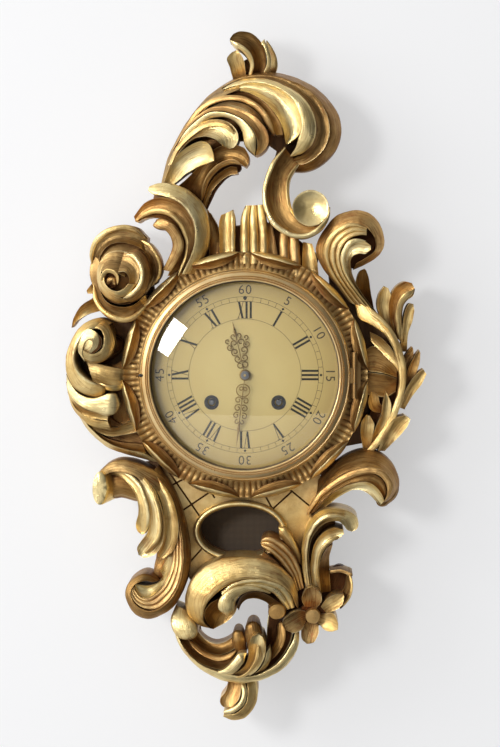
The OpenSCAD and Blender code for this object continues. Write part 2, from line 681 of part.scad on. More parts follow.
module hinge_leaf() {
    difference() {
        union() {
            knuckle(-1.5, -0.5);
            knuckle(0.5, 1.5);
            for (s = [0.5, -1.5])
                translate([hinge_x - 1, s * hinge_length / 3 + hinge_play / 2, bezel_seat - 1])
                    cube([2, hinge_length / 3 - hinge_play, hinge_depth - bezel_seat + 1]);
            translate([bezel_radius + 1, -hinge_length / 2, bezel_seat - 2]) cube([9, hinge_length, 2]);
        }
        translate([hinge_x, 0, hinge_depth]) rotate([90, 0, 0])
            cylinder(r = hinge_pin_radius, h = hinge_length + 4, center = true);
    }
}

module hinge_pin() {
    translate([hinge_x, 0, hinge_depth]) rotate([90, 0, 0])
        cylinder(r = hinge_pin_radius, h = hinge_length - hinge_play, center = true);
}

module bezel_glass() {
    steps = 12;
    foot = glass_edge_depth - 0.5;
    rotate_extrude($fn = 96) polygon(concat(
        [for (i = [0 : steps]) let (r = glass_edge_radius * i / steps) [r, glass_at(r)]],
        [[glass_edge_radius, foot]],
        [for (i = [steps : -1 : 0]) let (r = (glass_edge_radius - 2) * i / steps)
            [r, max(glass_at(r) - glass_thickness, foot)]]
    ));
}

module glass_retainer() {
    tube(bezel_bore, glass_sight_radius + 1, bezel_seat + 3.5, glass_edge_depth - 0.5);
}

module bezel_knob() {
    low = bezel_seat + bezel_gap;
    rotate([0, 0, 180]) translate([bezel_radius - 3, 0, low + 3]) rotate([0, 90, 0]) {
        cylinder(r = 1, h = 3);
        translate([0, 0, 3]) cylinder(r1 = 1.6, r2 = 2.2, h = 3);
    }
}

// Dial and hands
dial_front = dial_back + dial_thickness;
hour_pipe_outer = 3.6;
hour_pipe_inner = 2.3;
cannon_outer = 2.2;
// Height of the nut before the minute hand
nut_height = 2.6;
hour_hand_depth = dial_front + 2;
minute_hand_depth = hour_hand_depth + 2.5;
hand_thickness = 0.8;
// Turns of the hands from twelve, clockwise
minute_hand_turn = 186.8;
hour_hand_turn = -13.2;

module winding_places() {
    for (s = [1, -1]) translate([s * winding_x, winding_up, 0]) children();
}

module dial_plate() {
    difference() {
        union() {
            rod(dial_radius, dial_back, dial_front, $fn = 96);
            dial_foot_places() rod(2, front_plate_back + plate_thickness, dial_back + 0.2);
        }
        rod(hour_pipe_outer + 0.4, 0, 100);
        winding_places() rod(winding_hole_radius, 0, 100);
        dial_screw_places() rod(dial_screw_radius, 0, 100);
    }
}

module dial_foot_places() {
    for (x = [-1, 1], y = [-1, 1]) translate([x * 40, y * 46, 0]) children();
}

module dial_screws() {
    dial_screw_places() {
        rod(dial_screw_radius, dial_back - 7, dial_front);
        rod(1.4, dial_front, dial_front + 1);
    }
}

module winding_grommets() {
    winding_places() {
        tube(winding_hole_radius, winding_hole_radius - grommet_wall, dial_back, dial_front);
        tube(winding_hole_radius + 0.8, winding_hole_radius - grommet_wall, dial_front, dial_front + 0.6);
    }
}

module ring_shape(x, y, outer, inner) {
    translate([x, y]) difference() {
        circle(r = outer);
        circle(r = inner);
    }
}

module hour_hand() {
    slab(hour_hand_depth, hour_hand_depth + hand_thickness) rotate(-hour_hand_turn) difference() {
        union() {
            circle(r = 7);
            ring_shape(0, 13, 7, 4.6);
            ring_shape(-6.5, 24, 6.5, 4.4);
            ring_shape(6.5, 24, 6.5, 4.4);
            polygon([[-2, 18], [2, 18], [3, 32], [5, 36], [1.2, 42], [0.5, 54], [-0.5, 54], [-1.2, 42], [-5, 36], [-3, 32]]);
            polygon([[-13, 34], [0, 29], [13, 34], [11, 36], [0, 33], [-11, 36]]);
        }
        circle(r = hour_pipe_outer);
    }
}

module minute_hand() {
    slab(minute_hand_depth, minute_hand_depth + hand_thickness) rotate(-minute_hand_turn) difference() {
        union() {
            circle(r = 5.5);
            ring_shape(0, 15, 8, 5.6);
            ring_shape(-4.5, 29, 5.5, 3.6);
            ring_shape(4.5, 29, 5.5, 3.6);
            polygon([[-1.6, 4], [1.6, 4], [1.4, 40], [4, 44], [1.1, 49], [0.5, 73], [-0.5, 73], [-1.1, 49], [-4, 44],
                [-1.4, 40]]);
            polygon([[-8, 40], [0, 34], [8, 40], [6, 42], [0, 38], [-6, 42]]);
        }
        circle(r = cannon_outer);
    }
}

module hand_nut() {
    top = minute_hand_depth + hand_thickness;
    difference() {
        union() {
            rod(4.2, top, top + 1.2);
            rod(2.6, top, top + nut_height);
        }
        rod(arbor_radius, 0, 200);
    }
}

// Wheels: a tooth is narrow at its point and straight at its root
function tooth(n, m, i, fill, reach, depth) = let (
    r = n * m / 2,
    a = 360 / n,
    c = i * a,
    w = a * fill / 2
) [
    for (q = [[r - depth * m, -w], [r, -w], [r + reach * m * 0.7, -w * 0.62], [r + reach * m, -w * 0.25],
            [r + reach * m, w * 0.25], [r + reach * m * 0.7, w * 0.62], [r, w], [r - depth * m, w]])
        [q[0] * cos(c + q[1]), q[0] * sin(c + q[1])]
];

module wheel_shape(n, m) {
    polygon([for (i = [0 : n - 1]) each tooth(n, m, i, 0.44, 0.9, 1.35)]);
}

module pinion_shape(n, m) {
    polygon([for (i = [0 : n - 1]) each tooth(n, m, i, 0.34, 0.6, 1.5)]);
}

// Turn that puts a gap of the driven piece at a tooth of its driver
function mesh_turn(towards, n, turn, driven) =
    towards + 180 - (0.5 - (towards - turn) * n / 360) * 360 / driven;

function towards(a, b) = atan2(b[1] - a[1], b[0] - a[0]);

// A place that lies ra from a and rb from b, on the left of the line from a to b
function meet(a, b, ra, rb) = let (
    c = norm(b - a),
    k = (ra * ra + c * c - rb * rb) / (2 * c),
    h = sqrt(ra * ra - k * k),
    u = (b - a) / c
) a + u * k + [-u[1], u[0]] * h;

function pitch(n, m) = n * m / 2;

centre_at = [0, 0];
going_at = [winding_x, winding_up];
strike_at = [-winding_x, winding_up];
middle_at = meet(centre_at, going_at, pitch(middle_teeth + middle_pinion, middle_module),
    pitch(barrel_teeth + barrel_pinion, barrel_module));
escape_at = [0, escape_up];
third_at = meet(centre_at, escape_at, pitch(centre_teeth + fine_pinion, fine_module),
    pitch(third_teeth + fine_pinion, fine_module));
motion_at = [0, -pitch(cannon_teeth + minute_teeth, cannon_module)];
anchor_at = [0, anchor_up];

barrel_level = 28;
middle_level = 56;
centre_level = 38;
third_level = 46;
escape_level = 32;
wheel_thickness = 1.6;
pinion_length = 4;

going_turn = 0;
middle_pinion_turn = mesh_turn(towards(going_at, middle_at), barrel_teeth, going_turn, barrel_pinion);
centre_pinion_turn = mesh_turn(towards(middle_at, centre_at), middle_teeth, 0, middle_pinion);
third_pinion_turn = mesh_turn(towards(centre_at, third_at), centre_teeth, 0, fine_pinion);
escape_pinion_turn = mesh_turn(towards(third_at, escape_at), third_teeth, 0, fine_pinion);
minute_wheel_turn = mesh_turn(towards(centre_at, motion_at), cannon_teeth, 0, minute_teeth);
hour_wheel_turn = mesh_turn(towards(motion_at, centre_at), minute_pinion, 0, hour_teeth);

front_plate_front = front_plate_back + plate_thickness;
back_plate_front = back_plate_back + plate_thickness;

module at(p) {
    translate([p[0], p[1], 0]) children();
}

module plate_outline() {
    offset(r = 6) square([plate_half_width * 2 - 12, plate_half_height * 2 - 12], center = true);
}

module pillar_places() {
    for (x = [-1, 1], y = [-1, 1]) translate([x * pillar_x, y * pillar_up, 0]) children();
}

module arbor_holes() {
    for (p = [centre_at, middle_at, third_at, escape_at, anchor_at])
        at(p) rod(arbor_radius + arbor_fit, 0, 100);
    for (p = [going_at, strike_at]) at(p) rod(winding_arbor_radius + arbor_fit, 0, 100);
    pillar_places() rod(pillar_radius - 1.2, 0, 100);
}

module front_plate() {
    difference() {
        slab(front_plate_back, front_plate_front) plate_outline();
        arbor_holes();
        at(motion_at) rod(arbor_radius, 0, 100);
    }
    at(motion_at) rod(arbor_radius, front_plate_back, dial_back - 1);
}

module back_plate() {
    difference() {
        slab(back_plate_back, back_plate_front) plate_outline();
        arbor_holes();
        at([hammer_x, hammer_up]) rod(arbor_radius + arbor_fit, 0, 100);
    }
}

module pillars() {
    pillar_places() {
        rod(pillar_radius, back_plate_front, front_plate_back);
        rod(pillar_radius - 1.2, back_plate_back - 2, back_plate_front);
        rod(pillar_radius - 1.2, front_plate_back, front_plate_front + 2);
    }
}

module barrel() {
    difference() {
        union() {
            rotate(going_turn) slab(barrel_level, barrel_level + wheel_thickness)
                wheel_shape(barrel_teeth, barrel_module);
            rod(barrel_radius, barrel_level, barrel_level + 22);
        }
        rod(barrel_radius - 1.5, barrel_level + 3, barrel_level + 20.5);
        rod(winding_arbor_radius + arbor_fit, 0, 100);
    }
}

module winding_arbor() {
    rod(winding_arbor_radius, back_plate_back - 1, front_plate_front + 2);
    slab(front_plate_front + 2, dial_front - 1) square(winding_square, center = true);
    rod(winding_arbor_radius + 4, barrel_level + 8, barrel_level + 16);
}

module middle_wheel() {
    at(middle_at) {
        rod(arbor_radius, back_plate_back - 1, front_plate_front);
        rotate(middle_pinion_turn) slab(barrel_level - 1, barrel_level + pinion_length - 1)
            pinion_shape(barrel_pinion, barrel_module);
        slab(middle_level, middle_level + wheel_thickness) wheel_shape(middle_teeth, middle_module);
    }
}

module centre_wheel() {
    rod(arbor_radius, back_plate_back - 1, minute_hand_depth + hand_thickness + nut_height);
    slab(centre_level, centre_level + wheel_thickness) wheel_shape(centre_teeth, fine_module);
    rotate(centre_pinion_turn) slab(middle_level - 1, middle_level + pinion_length - 1)
        pinion_shape(middle_pinion, middle_module);
}

module cannon_pinion() {
    difference() {
        union() {
            slab(front_plate_front + 0.3, front_plate_front + 3) pinion_shape(cannon_teeth, cannon_module);
            rod(cannon_outer, front_plate_front + 0.3, minute_hand_depth + hand_thickness);
        }
        rod(arbor_radius, 0, 200);
    }
}

module minute_wheel() {
    at(motion_at) difference() {
        union() {
            rotate(minute_wheel_turn) slab(front_plate_front + 0.8, front_plate_front + 2)
                wheel_shape(minute_teeth, cannon_module);
            slab(front_plate_front + 1, front_plate_front + 6) pinion_shape(minute_pinion, hour_module);
        }
        rod(arbor_radius + arbor_fit, 0, 100);
    }
}

module hour_wheel() {
    difference() {
        union() {
            rotate(hour_wheel_turn) slab(front_plate_front + 4, front_plate_front + 5.2)
                wheel_shape(hour_teeth, hour_module);
            rod(hour_pipe_outer, front_plate_front + 4, hour_hand_depth + hand_thickness);
        }
        rod(hour_pipe_inner, 0, 200);
    }
}

module third_wheel() {
    at(third_at) {
        rod(0.9, back_plate_back, front_plate_front);
        rotate(third_pinion_turn) slab(centre_level - 1, centre_level + 3) pinion_shape(fine_pinion, fine_module);
        slab(third_level, third_level + wheel_thickness) wheel_shape(third_teeth, fine_module);
    }
}

module escape_wheel() {
    at(escape_at) {
        rod(0.9, back_plate_back, front_plate_front);
        rotate(escape_pinion_turn) slab(third_level - 1, third_level + 3) pinion_shape(fine_pinion, fine_module);
        slab(escape_level, escape_level + 1.2) polygon([
            for (i = [0 : escape_teeth - 1]) each [
                (escape_radius - 1.6) * [cos(i * 360 / escape_teeth), sin(i * 360 / escape_teeth)],
                escape_radius * [cos((i + 0.2) * 360 / escape_teeth), sin((i + 0.2) * 360 / escape_teeth)],
                (escape_radius - 1.6) * [cos((i + 0.4) * 360 / escape_teeth), sin((i + 0.4) * 360 / escape_teeth)]
            ]
        ]);
    }
}

pallet_clearance = 1;

module anchor() {
    at(anchor_at) {
        rod(arbor_radius, 12, front_plate_front);
        slab(escape_level - 1, escape_level + 2) difference() {
            union() {
                circle(r = 3);
                polygon([[-2, 1.5], [2, 1.5], [9.5, -6.5], [8.2, -9], [7, -8], [0, -2.5], [-7, -8], [-8.2, -9], [-9.5, -6.5]]);
            }
            translate([0, escape_up - anchor_up]) circle(r = escape_radius + pallet_clearance);
        }
    }
}

module pendulum() {
    at(anchor_at) {
        difference() {
            union() {
                rod(3, 14, 18);
                translate([-1, -pendulum_length - bob_radius - 6, 15.5]) cube([2, pendulum_length + bob_radius + 6, 1]);
                translate([0, -pendulum_length, 0]) {
                    translate([0, 0, 12.5]) cylinder(r1 = bob_radius - 4, r2 = bob_radius, h = 3.5);
                    translate([0, 0, 16]) cylinder(r1 = bob_radius, r2 = bob_radius - 4, h = 3.5);
                }
                translate([0, -pendulum_length - bob_radius - 3, 16]) cube([5, 6, 3], center = true);
            }
            rod(arbor_radius, 0, 100);
        }
    }
}

// The head rests just inside the gong ring
hammer_length = 36;
hammer_gap = 1.2;

module hammer() {
    at([hammer_x, hammer_up]) {
        rod(arbor_radius, 4, front_plate_back - 1);
        rod(2.6, 4, 10);
        translate([-1.2, -hammer_length, 5]) cube([2.4, hammer_length, 2.4]);
    }
    intersection() {
        at([hammer_x, hammer_up - hammer_length]) translate([-40, -4, 4]) cube([41.2, 8, 5]);
        tube(gong_radius - gong_wire - hammer_gap, gong_radius - gong_wire - hammer_gap - 32, 0, 20);
    }
}

// A ring of flat wire on a block at the foot of the case
gong_depth = 5;

module gong() {
    slab(gong_depth, gong_depth + gong_wire) difference() {
        union() {
            ring_shape(0, 0, gong_radius, gong_radius - gong_wire);
            translate([-gong_wire / 2, -gong_radius - 6]) square([gong_wire, 8]);
        }
        rotate(-60) translate([gong_radius - 6, -3]) square([8, 6]);
    }
}

module gong_block() {
    difference() {
        intersection() {
            translate([-9, -case_radius, cover_thickness]) cube([18, case_radius - gong_radius - 1, 8]);
            rod(case_radius - case_wall, 0, 100);
        }
        slab(gong_depth, gong_depth + gong_wire) translate([-gong_wire / 2, -gong_radius - 6])
            square([gong_wire, 8]);
    }
}

// Cut pieces: what lies in front keeps its shape
module crest_leaf() {
    difference() {
        crest_leaf_solid();
        crest_s_scroll_solid();
        left_shoulder_scroll_solid();
    }
}

module crest_plume() {
    difference() {
        crest_plume_solid();
        crest_leaf_solid();
    }
}

module crest_s_scroll() {
    difference() {
        crest_s_scroll_solid();
        surround_room();
    }
}

module crest_flutes() {
    difference() {
        crest_flutes_solid();
        surround_room();
        crest_leaf_solid();
        crest_s_scroll_solid();
        left_shoulder_scroll_solid();
        right_shoulder_scroll_solid();
    }
}

module left_shoulder_scroll() {
    difference() {
        left_shoulder_scroll_solid();
        surround_room();
        rose_solid();
    }
}

module rose() {
    difference() {
        rose_solid();
        surround_room();
    }
}

module rose_leaves() {
    difference() {
        rose_leaves_solid();
        rose_solid();
        left_c_scroll_solid();
    }
}

module right_shoulder_scroll() {
    difference() {
        right_shoulder_scroll_solid();
        surround_room();
        crest_s_scroll_solid();
    }
}

module right_leaf_branch() {
    difference() {
        right_leaf_branch_solid();
        surround_room();
        right_shoulder_scroll_solid();
        right_lower_scroll_solid();
    }
}

module left_c_scroll() {
    difference() {
        left_c_scroll_solid();
        surround_room();
        rose_solid();
        left_lower_acanthus_solid();
    }
}

module left_lower_acanthus() {
    difference() {
        left_lower_acanthus_solid();
        board_room();
        surround_room();
        base_c_scroll_solid();
    }
}

module right_lower_scroll() {
    difference() {
        right_lower_scroll_solid();
        board_room();
        surround_room();
        right_lower_acanthus_solid();
    }
}

module right_lower_acanthus() {
    difference() {
        right_lower_acanthus_solid();
        board_room();
        base_c_scroll_solid();
        base_flower_solid();
        base_leaf_cup_solid();
    }
}

module base_c_scroll() {
    difference() {
        base_c_scroll_solid();
        board_room();
        base_flower_solid();
    }
}

module base_crescent() {
    difference() {
        base_crescent_solid();
        base_c_scroll_solid();
        base_flower_solid();
        left_lower_acanthus_solid();
    }
}

module base_leaf_cup() {
    difference() {
        base_leaf_cup_solid();
        base_flower_solid();
    }
}

module base_drop() {
    difference() {
        base_drop_solid();
        base_crescent_solid();
    }
}

module base_flower() {
    base_flower_solid();
}

module shown(name, tint) {
    color(tint) rotate([90, 0, 0]) children();
}

shown("dial_surround", gold) dial_surround();
shown("surround_petals", gold) surround_petals();
shown("ground_board", wood) ground_board();
shown("apron_board", old_gold) apron_board();
shown("aperture_rim", gold) aperture_rim();
shown("sound_cloth", dark) sound_cloth();
shown("crest_leaf", gold) crest_leaf();
shown("crest_plume", old_gold) crest_plume();
shown("crest_s_scroll", gold) crest_s_scroll();
shown("crest_flutes", old_gold) crest_flutes();
shown("left_shoulder_scroll", gold) left_shoulder_scroll();
shown("rose", gold) rose();
shown("rose_leaves", old_gold) rose_leaves();
shown("right_shoulder_scroll", gold) right_shoulder_scroll();
shown("right_leaf_branch", old_gold) right_leaf_branch();
shown("left_c_scroll", gold) left_c_scroll();
shown("left_lower_acanthus", gold) left_lower_acanthus();
shown("right_lower_scroll", gold) right_lower_scroll();
shown("right_lower_acanthus", gold) right_lower_acanthus();
shown("base_c_scroll", gold) base_c_scroll();
shown("base_crescent", gold) base_crescent();
shown("base_flower", gold) base_flower();
shown("base_leaf_cup", old_gold) base_leaf_cup();
shown("base_drop", old_gold) base_drop();
shown("movement_case", wood) movement_case();
shown("rear_cover", brass) rear_cover();
shown("case_screws", steel) case_screws();
shown("hanger_plate", steel) hanger_plate();
shown("bezel_ring", brass) bezel_ring();
shown("bezel_glass", "#dfe8ea60") bezel_glass();
shown("glass_retainer", brass) glass_retainer();
shown("bezel_knob", brass) bezel_knob();
shown("hinge_leaf", brass) hinge_leaf();
shown("hinge_pin", steel) hinge_pin();
shown("dial_plate", "#d8c48c") dial_plate();
shown("dial_screws", brass) dial_screws();
shown("winding_grommets", dark) winding_grommets();
shown("hour_hand", old_gold) hour_hand();
shown("minute_hand", old_gold) minute_hand();
shown("hand_nut", brass) hand_nut();
shown("front_plate", brass) front_plate();
shown("back_plate", brass) back_plate();
shown("pillars", brass) pillars();
shown("going_barrel", brass) at(going_at) barrel();
shown("going_arbor", steel) at(going_at) winding_arbor();
shown("strike_barrel", brass) at(strike_at) barrel();
shown("strike_arbor", steel) at(strike_at) winding_arbor();
shown("middle_wheel", brass) middle_wheel();
shown("centre_wheel", brass) centre_wheel();
shown("cannon_pinion", steel) cannon_pinion();
shown("minute_wheel", brass) minute_wheel();
shown("hour_wheel", brass) hour_wheel();
shown("third_wheel", brass) third_wheel();
shown("escape_wheel", brass) escape_wheel();
shown("anchor", steel) anchor();
shown("pendulum", brass) pendulum();
shown("hammer", steel) hammer();
shown("gong", steel) gong();
shown("gong_block", steel) gong_block();
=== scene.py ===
"""A carved giltwood wall clock, dressed on its CAD frame.

Carving is drawn on a 1:1 sheet in mm, x to the right and y down, with the dial centre at SHEET.
A leaf is a carved surface between two edges of [sheet x, sheet y, depth], and a lobe follows a spine of
[sheet x, sheet y, half width, depth]. Depth is measured from the wall. Built points are (x, depth, up) in mm.
"""
import math

import bpy
import numpy as np
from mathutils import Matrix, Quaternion, Vector, noise


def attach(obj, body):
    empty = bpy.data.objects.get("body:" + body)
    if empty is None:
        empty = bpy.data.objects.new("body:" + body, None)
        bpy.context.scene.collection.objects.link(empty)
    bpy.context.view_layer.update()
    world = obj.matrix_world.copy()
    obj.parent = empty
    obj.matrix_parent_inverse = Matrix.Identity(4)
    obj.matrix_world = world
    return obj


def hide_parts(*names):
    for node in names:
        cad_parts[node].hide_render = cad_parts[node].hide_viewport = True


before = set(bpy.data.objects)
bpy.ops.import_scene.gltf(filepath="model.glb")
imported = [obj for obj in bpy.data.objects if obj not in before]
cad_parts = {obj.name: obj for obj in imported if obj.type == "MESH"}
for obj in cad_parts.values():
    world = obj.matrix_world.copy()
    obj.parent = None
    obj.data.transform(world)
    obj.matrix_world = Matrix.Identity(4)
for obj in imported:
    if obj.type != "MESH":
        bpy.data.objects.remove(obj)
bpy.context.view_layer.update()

MM = 0.001
SHEET = (245.0, 375.0)
CARVING_BACK = 40.0
APRON_FRONT = 60.0
DIAL_FRONT = 74.0
BEZEL_SEAT = 77.0
BEZEL_RADIUS = 105.5
COVE_RADIUS = 115.5

# The noise of the hand-cut surfaces is the same in each run
HAND_SEED = 7
noise.seed_set(HAND_SEED)


# Colours
def srgb(r, g, b):
    """A colour picked in 0 to 255, as linear values."""
    def linear(v):
        v = v / 255
        return v / 12.92 if v <= 0.04045 else ((v + 0.055) / 1.055) ** 2.4
    return (linear(r), linear(g), linear(b), 1.0)


class Nodes:
    """Adds shader nodes to a material and joins them."""

    def __init__(self, material):
        material.use_nodes = True
        self.tree = material.node_tree
        self.shader = self.tree.nodes["Principled BSDF"]
        self.output = self.tree.nodes["Material Output"]

    def add(self, kind, inputs=None, **settings):
        node = self.tree.nodes.new(kind)
        for name, value in settings.items():
            setattr(node, name, value)
        for name, value in (inputs or {}).items():
            self.set(node, name, value)
        return node

    def set(self, node, name, value):
        if isinstance(value, bpy.types.NodeSocket):
            self.tree.links.new(value, node.inputs[name])
        else:
            node.inputs[name].default_value = value

    def place(self):
        return self.add("ShaderNodeTexCoord").outputs["Object"]

    def attribute(self, name, output):
        return self.add("ShaderNodeAttribute", attribute_name=name).outputs[output]

    def noise(self, scale, detail=4.0, rough=0.55, place=None):
        at = self.place() if place is None else place
        values = {"Vector": at, "Scale": scale, "Detail": detail, "Roughness": rough}
        return self.add("ShaderNodeTexNoise", values).outputs["Fac"]

    def ramp(self, value, *stops):
        node = self.add("ShaderNodeValToRGB", {"Fac": value})
        points = node.color_ramp.elements
        while len(points) < len(stops):
            points.new(0.5)
        for point, (at, colour) in zip(points, stops):
            point.position = at
            point.color = colour if isinstance(colour, tuple) else (colour, colour, colour, 1.0)
        return node.outputs["Color"]

    def mix(self, share, a, b, blend="MIX"):
        node = self.add("ShaderNodeMix", data_type="RGBA", blend_type=blend)
        self.set(node, 0, share)
        self.set(node, 6, a)
        self.set(node, 7, b)
        return node.outputs[2]

    def calc(self, operation, a, b):
        node = self.add("ShaderNodeMath", operation=operation)
        self.set(node, 0, a)
        self.set(node, 1, b)
        return node.outputs[0]

    def open_air(self, distance):
        """1 in the open and near 0 deep in a crevice."""
        return self.add("ShaderNodeAmbientOcclusion", {"Distance": distance}, samples=8).outputs["AO"]

    def bump(self, height, strength, distance=0.001):
        node = self.add("ShaderNodeBump", {"Height": height, "Strength": strength, "Distance": distance})
        self.set(self.shader, "Normal", node.outputs["Normal"])

    def surface(self, **values):
        for name, value in values.items():
            self.set(self.shader, name.replace("_", " "), value)


def new_material(name):
    material = bpy.data.materials.new(name)
    return material, Nodes(material)


NOTHING = (0, 0, 0, 1)
BARE_BOLE = srgb(166, 98, 58)
EDGE_BOLE = srgb(140, 84, 50)
# Painted highlight on the ridges of the carving
RIDGE_HIGHLIGHT = srgb(250, 232, 176)
# Painted shade and dirt in the gilding's crevices and creases: its colour, roughness and metallic, and how
# far it reaches
SHADE_AND_DIRT = srgb(106, 63, 28)
SHADE_AND_DIRT_ROUGH = (0.6, 0.6, 0.6, 1.0)
SHADE_AND_DIRT_METALLIC = 0.45
CREVICE = 0.016


def gilding(name, light, deep, patina, rough, wear, metallic=0.96):
    """Old leaf gilding rubbed in streaks along the carving, with a painted highlight on the ridges and
    painted shade with dirt, brown, in the hollows and creases.
    """
    material, n = new_material(name)
    relief = n.attribute("relief", "Fac")
    streak = n.noise(1.0, 5.0, 0.6, n.attribute("flow", "Vector"))
    cloud = n.ramp(n.noise(30, 6.0, 0.6), (0.36, 0.0), (0.64, 1.0))
    leaf = n.mix(cloud, srgb(*light), srgb(*deep))
    leaf = n.mix(n.ramp(streak, (0.47, 0.0), (0.64, wear)), leaf, srgb(*patina))
    rubbed = n.ramp(n.noise(80, 8.0, 0.72), (0.55, 0.0), (0.7, wear))
    leaf = n.mix(rubbed, leaf, srgb(*patina))
    bare = n.ramp(n.mix(0.45, n.noise(24, 7.0, 0.66), streak), (0.555, 0.0), (0.66, wear))
    leaf = n.mix(bare, leaf, BARE_BOLE)
    # Painted highlight: ridges, where the relief is below 0, are lightened to a pale gold
    ridge = n.ramp(n.calc("MULTIPLY", relief, -1.0), (0.25, 0.0), (0.8, 0.75))
    leaf = n.mix(ridge, leaf, RIDGE_HIGHLIGHT)
    edge = n.ramp(n.add("ShaderNodeNewGeometry").outputs["Pointiness"], (0.54, 0.0), (0.62, 0.5))
    leaf = n.mix(n.mix(n.noise(120, 4.0), NOTHING, edge), leaf, EDGE_BOLE)
    # Painted shade, partly dirt: ambient occlusion darkens crevices and the relief darkens creases
    shade = n.ramp(n.open_air(CREVICE), (0.04, 0.92), (0.5, 0.0))
    crease = n.ramp(relief, (0.25, 0.0), (0.9, 0.72))
    shade_and_dirt_marks = n.mix(n.noise(140, 5.0), n.mix(1.0, shade, crease, "LIGHTEN"), shade)
    gloss = n.ramp(n.noise(46, 5.0), (0.3, rough - 0.08), (0.75, rough + 0.12))
    n.surface(Base_Color=n.mix(shade_and_dirt_marks, leaf, SHADE_AND_DIRT))
    n.surface(Metallic=n.ramp(shade_and_dirt_marks, (0.0, metallic), (1.0, SHADE_AND_DIRT_METALLIC)))
    n.surface(Roughness=n.mix(shade_and_dirt_marks, gloss, SHADE_AND_DIRT_ROUGH))
    scratches = n.calc("MULTIPLY", streak, 0.7)
    grain = n.calc("MULTIPLY", n.noise(150, 7.0, 0.68), 0.7)
    n.bump(n.calc("ADD", scratches, grain), 0.4, 0.0016)
    return material


def metal(name, colour, rough, other=None):
    """A metal that is toned to another colour in patches, if one is given."""
    material, n = new_material(name)
    if other is not None:
        colour = n.mix(n.ramp(n.noise(28, 5.0), (0.35, 0.0), (0.7, 1.0)), colour, other)
    n.surface(Base_Color=colour, Metallic=1.0)
    n.surface(Roughness=n.ramp(n.noise(60), (0.3, rough * 0.8), (0.7, rough * 1.25)))
    return material


def plain(name, colour, rough, worn, grain=0.0, gloss=0.5):
    """A dull finish that is worn to another shade in small patches."""
    material, n = new_material(name)
    patches = n.ramp(n.noise(110, 6.0, 0.65), (0.42, 0.0), (0.7, 1.0))
    n.surface(Base_Color=n.mix(patches, colour, worn), Specular_IOR_Level=gloss)
    n.surface(Roughness=n.ramp(n.noise(160), (0.3, rough * 0.85), (0.7, rough * 1.15)))
    if grain:
        n.bump(n.noise(260), grain)
    return material


# Tones of gilding: light, deep and worn colour, roughness, share of wear and, if not the usual, metallic
# shadow is painted shade: dark gilding for fillers set in gaps and undersides. pale is partly painted light,
# set on parts that catch the light, and brown is partly painted shade, set on hollows and undersides
GILDING = {
    "gold": ((240, 213, 148), (214, 177, 107), (172, 125, 69), 0.38, 0.56),
    "pale": ((248, 229, 172), (230, 204, 139), (196, 157, 95), 0.33, 0.5),
    "bole": ((222, 185, 120), (194, 149, 88), (150, 98, 54), 0.4, 0.7),
    "brown": ((178, 140, 83), (147, 109, 61), (100, 66, 34), 0.42, 0.6),
    "dusty": ((196, 163, 106), (158, 123, 74), (104, 75, 42), 0.42, 0.75),
    "reeded": ((204, 171, 110), (168, 131, 77), (112, 79, 43), 0.45, 0.65, 0.8),
    "shadow": ((74, 46, 22), (52, 31, 15), (38, 22, 12), 0.5, 0.5),
}
TONES = {tone: gilding("gilt_" + tone, *values) for tone, values in GILDING.items()}
BRASS = metal("bezel_brass", srgb(236, 208, 154), 0.33, srgb(214, 180, 122))
DULL_BRASS = metal("hinge_brass", srgb(164, 130, 82), 0.42, srgb(128, 98, 60))
PLATE_BRASS = metal("movement_brass", srgb(212, 178, 104), 0.3)
STEEL = metal("steel", srgb(128, 128, 130), 0.3)
HAND_GILT = metal("hand_gilt", srgb(152, 124, 74), 0.32, srgb(112, 86, 48))
BLACK = plain("black_metal", srgb(24, 22, 20), 0.4, srgb(38, 34, 30), 0.05)
# Dark putty, partly painted shade along the glass edge
PUTTY_AND_SHADE = plain("glass_putty_and_shade", srgb(86, 70, 46), 0.65, srgb(106, 88, 60), 0.1)
INK = plain("dial_ink", srgb(32, 27, 23), 0.6, srgb(44, 38, 32), gloss=0.12)
INK_LIGHT = plain("dial_ink_light", srgb(62, 53, 40), 0.6, srgb(78, 67, 51), gloss=0.12)


# One over the dial's radius in metres
DIAL_SPREAD = 9.6


def dial_finish():
    """Satin pale gilt, with painted shade darker towards the edge."""
    material, n = new_material("dial_gilt")
    flat = n.add("ShaderNodeMapping", {"Vector": n.place(), "Scale": (DIAL_SPREAD, 0, DIAL_SPREAD)})
    middle = n.add("ShaderNodeTexGradient", {"Vector": flat.outputs["Vector"]}, gradient_type="SPHERICAL")
    # Painted shade: the dial is darker towards its edge, under the bezel
    rim, body, centre = srgb(142, 119, 71), srgb(173, 149, 90), srgb(189, 168, 110)
    edge_shaded = n.ramp(middle.outputs["Fac"], (0.04, rim), (0.26, body), (0.7, centre))
    colour = n.mix(n.ramp(n.noise(14, 5.0), (0.3, 0.0), (0.75, 0.5)), edge_shaded, srgb(175, 150, 91))
    n.surface(Base_Color=colour, Metallic=0.3, Roughness=0.45)
    n.bump(n.noise(900, 3.0), 0.05)
    return material


def wood_finish():
    """Dark bare wood with its grain upright."""
    material, n = new_material("bare_wood")
    stretch = n.add("ShaderNodeMapping", {"Vector": n.place(), "Scale": (14, 14, 1.6)})
    grain = n.add("ShaderNodeTexNoise", {"Vector": stretch.outputs["Vector"], "Scale": 9.0, "Detail": 8.0})
    dark, light, middle = srgb(92, 62, 36), srgb(134, 96, 58), srgb(110, 74, 44)
    colour = n.ramp(grain.outputs["Fac"], (0.3, dark), (0.55, light), (0.8, middle))
    n.surface(Base_Color=colour, Roughness=0.62)
    n.bump(grain.outputs["Fac"], 0.15)
    return material


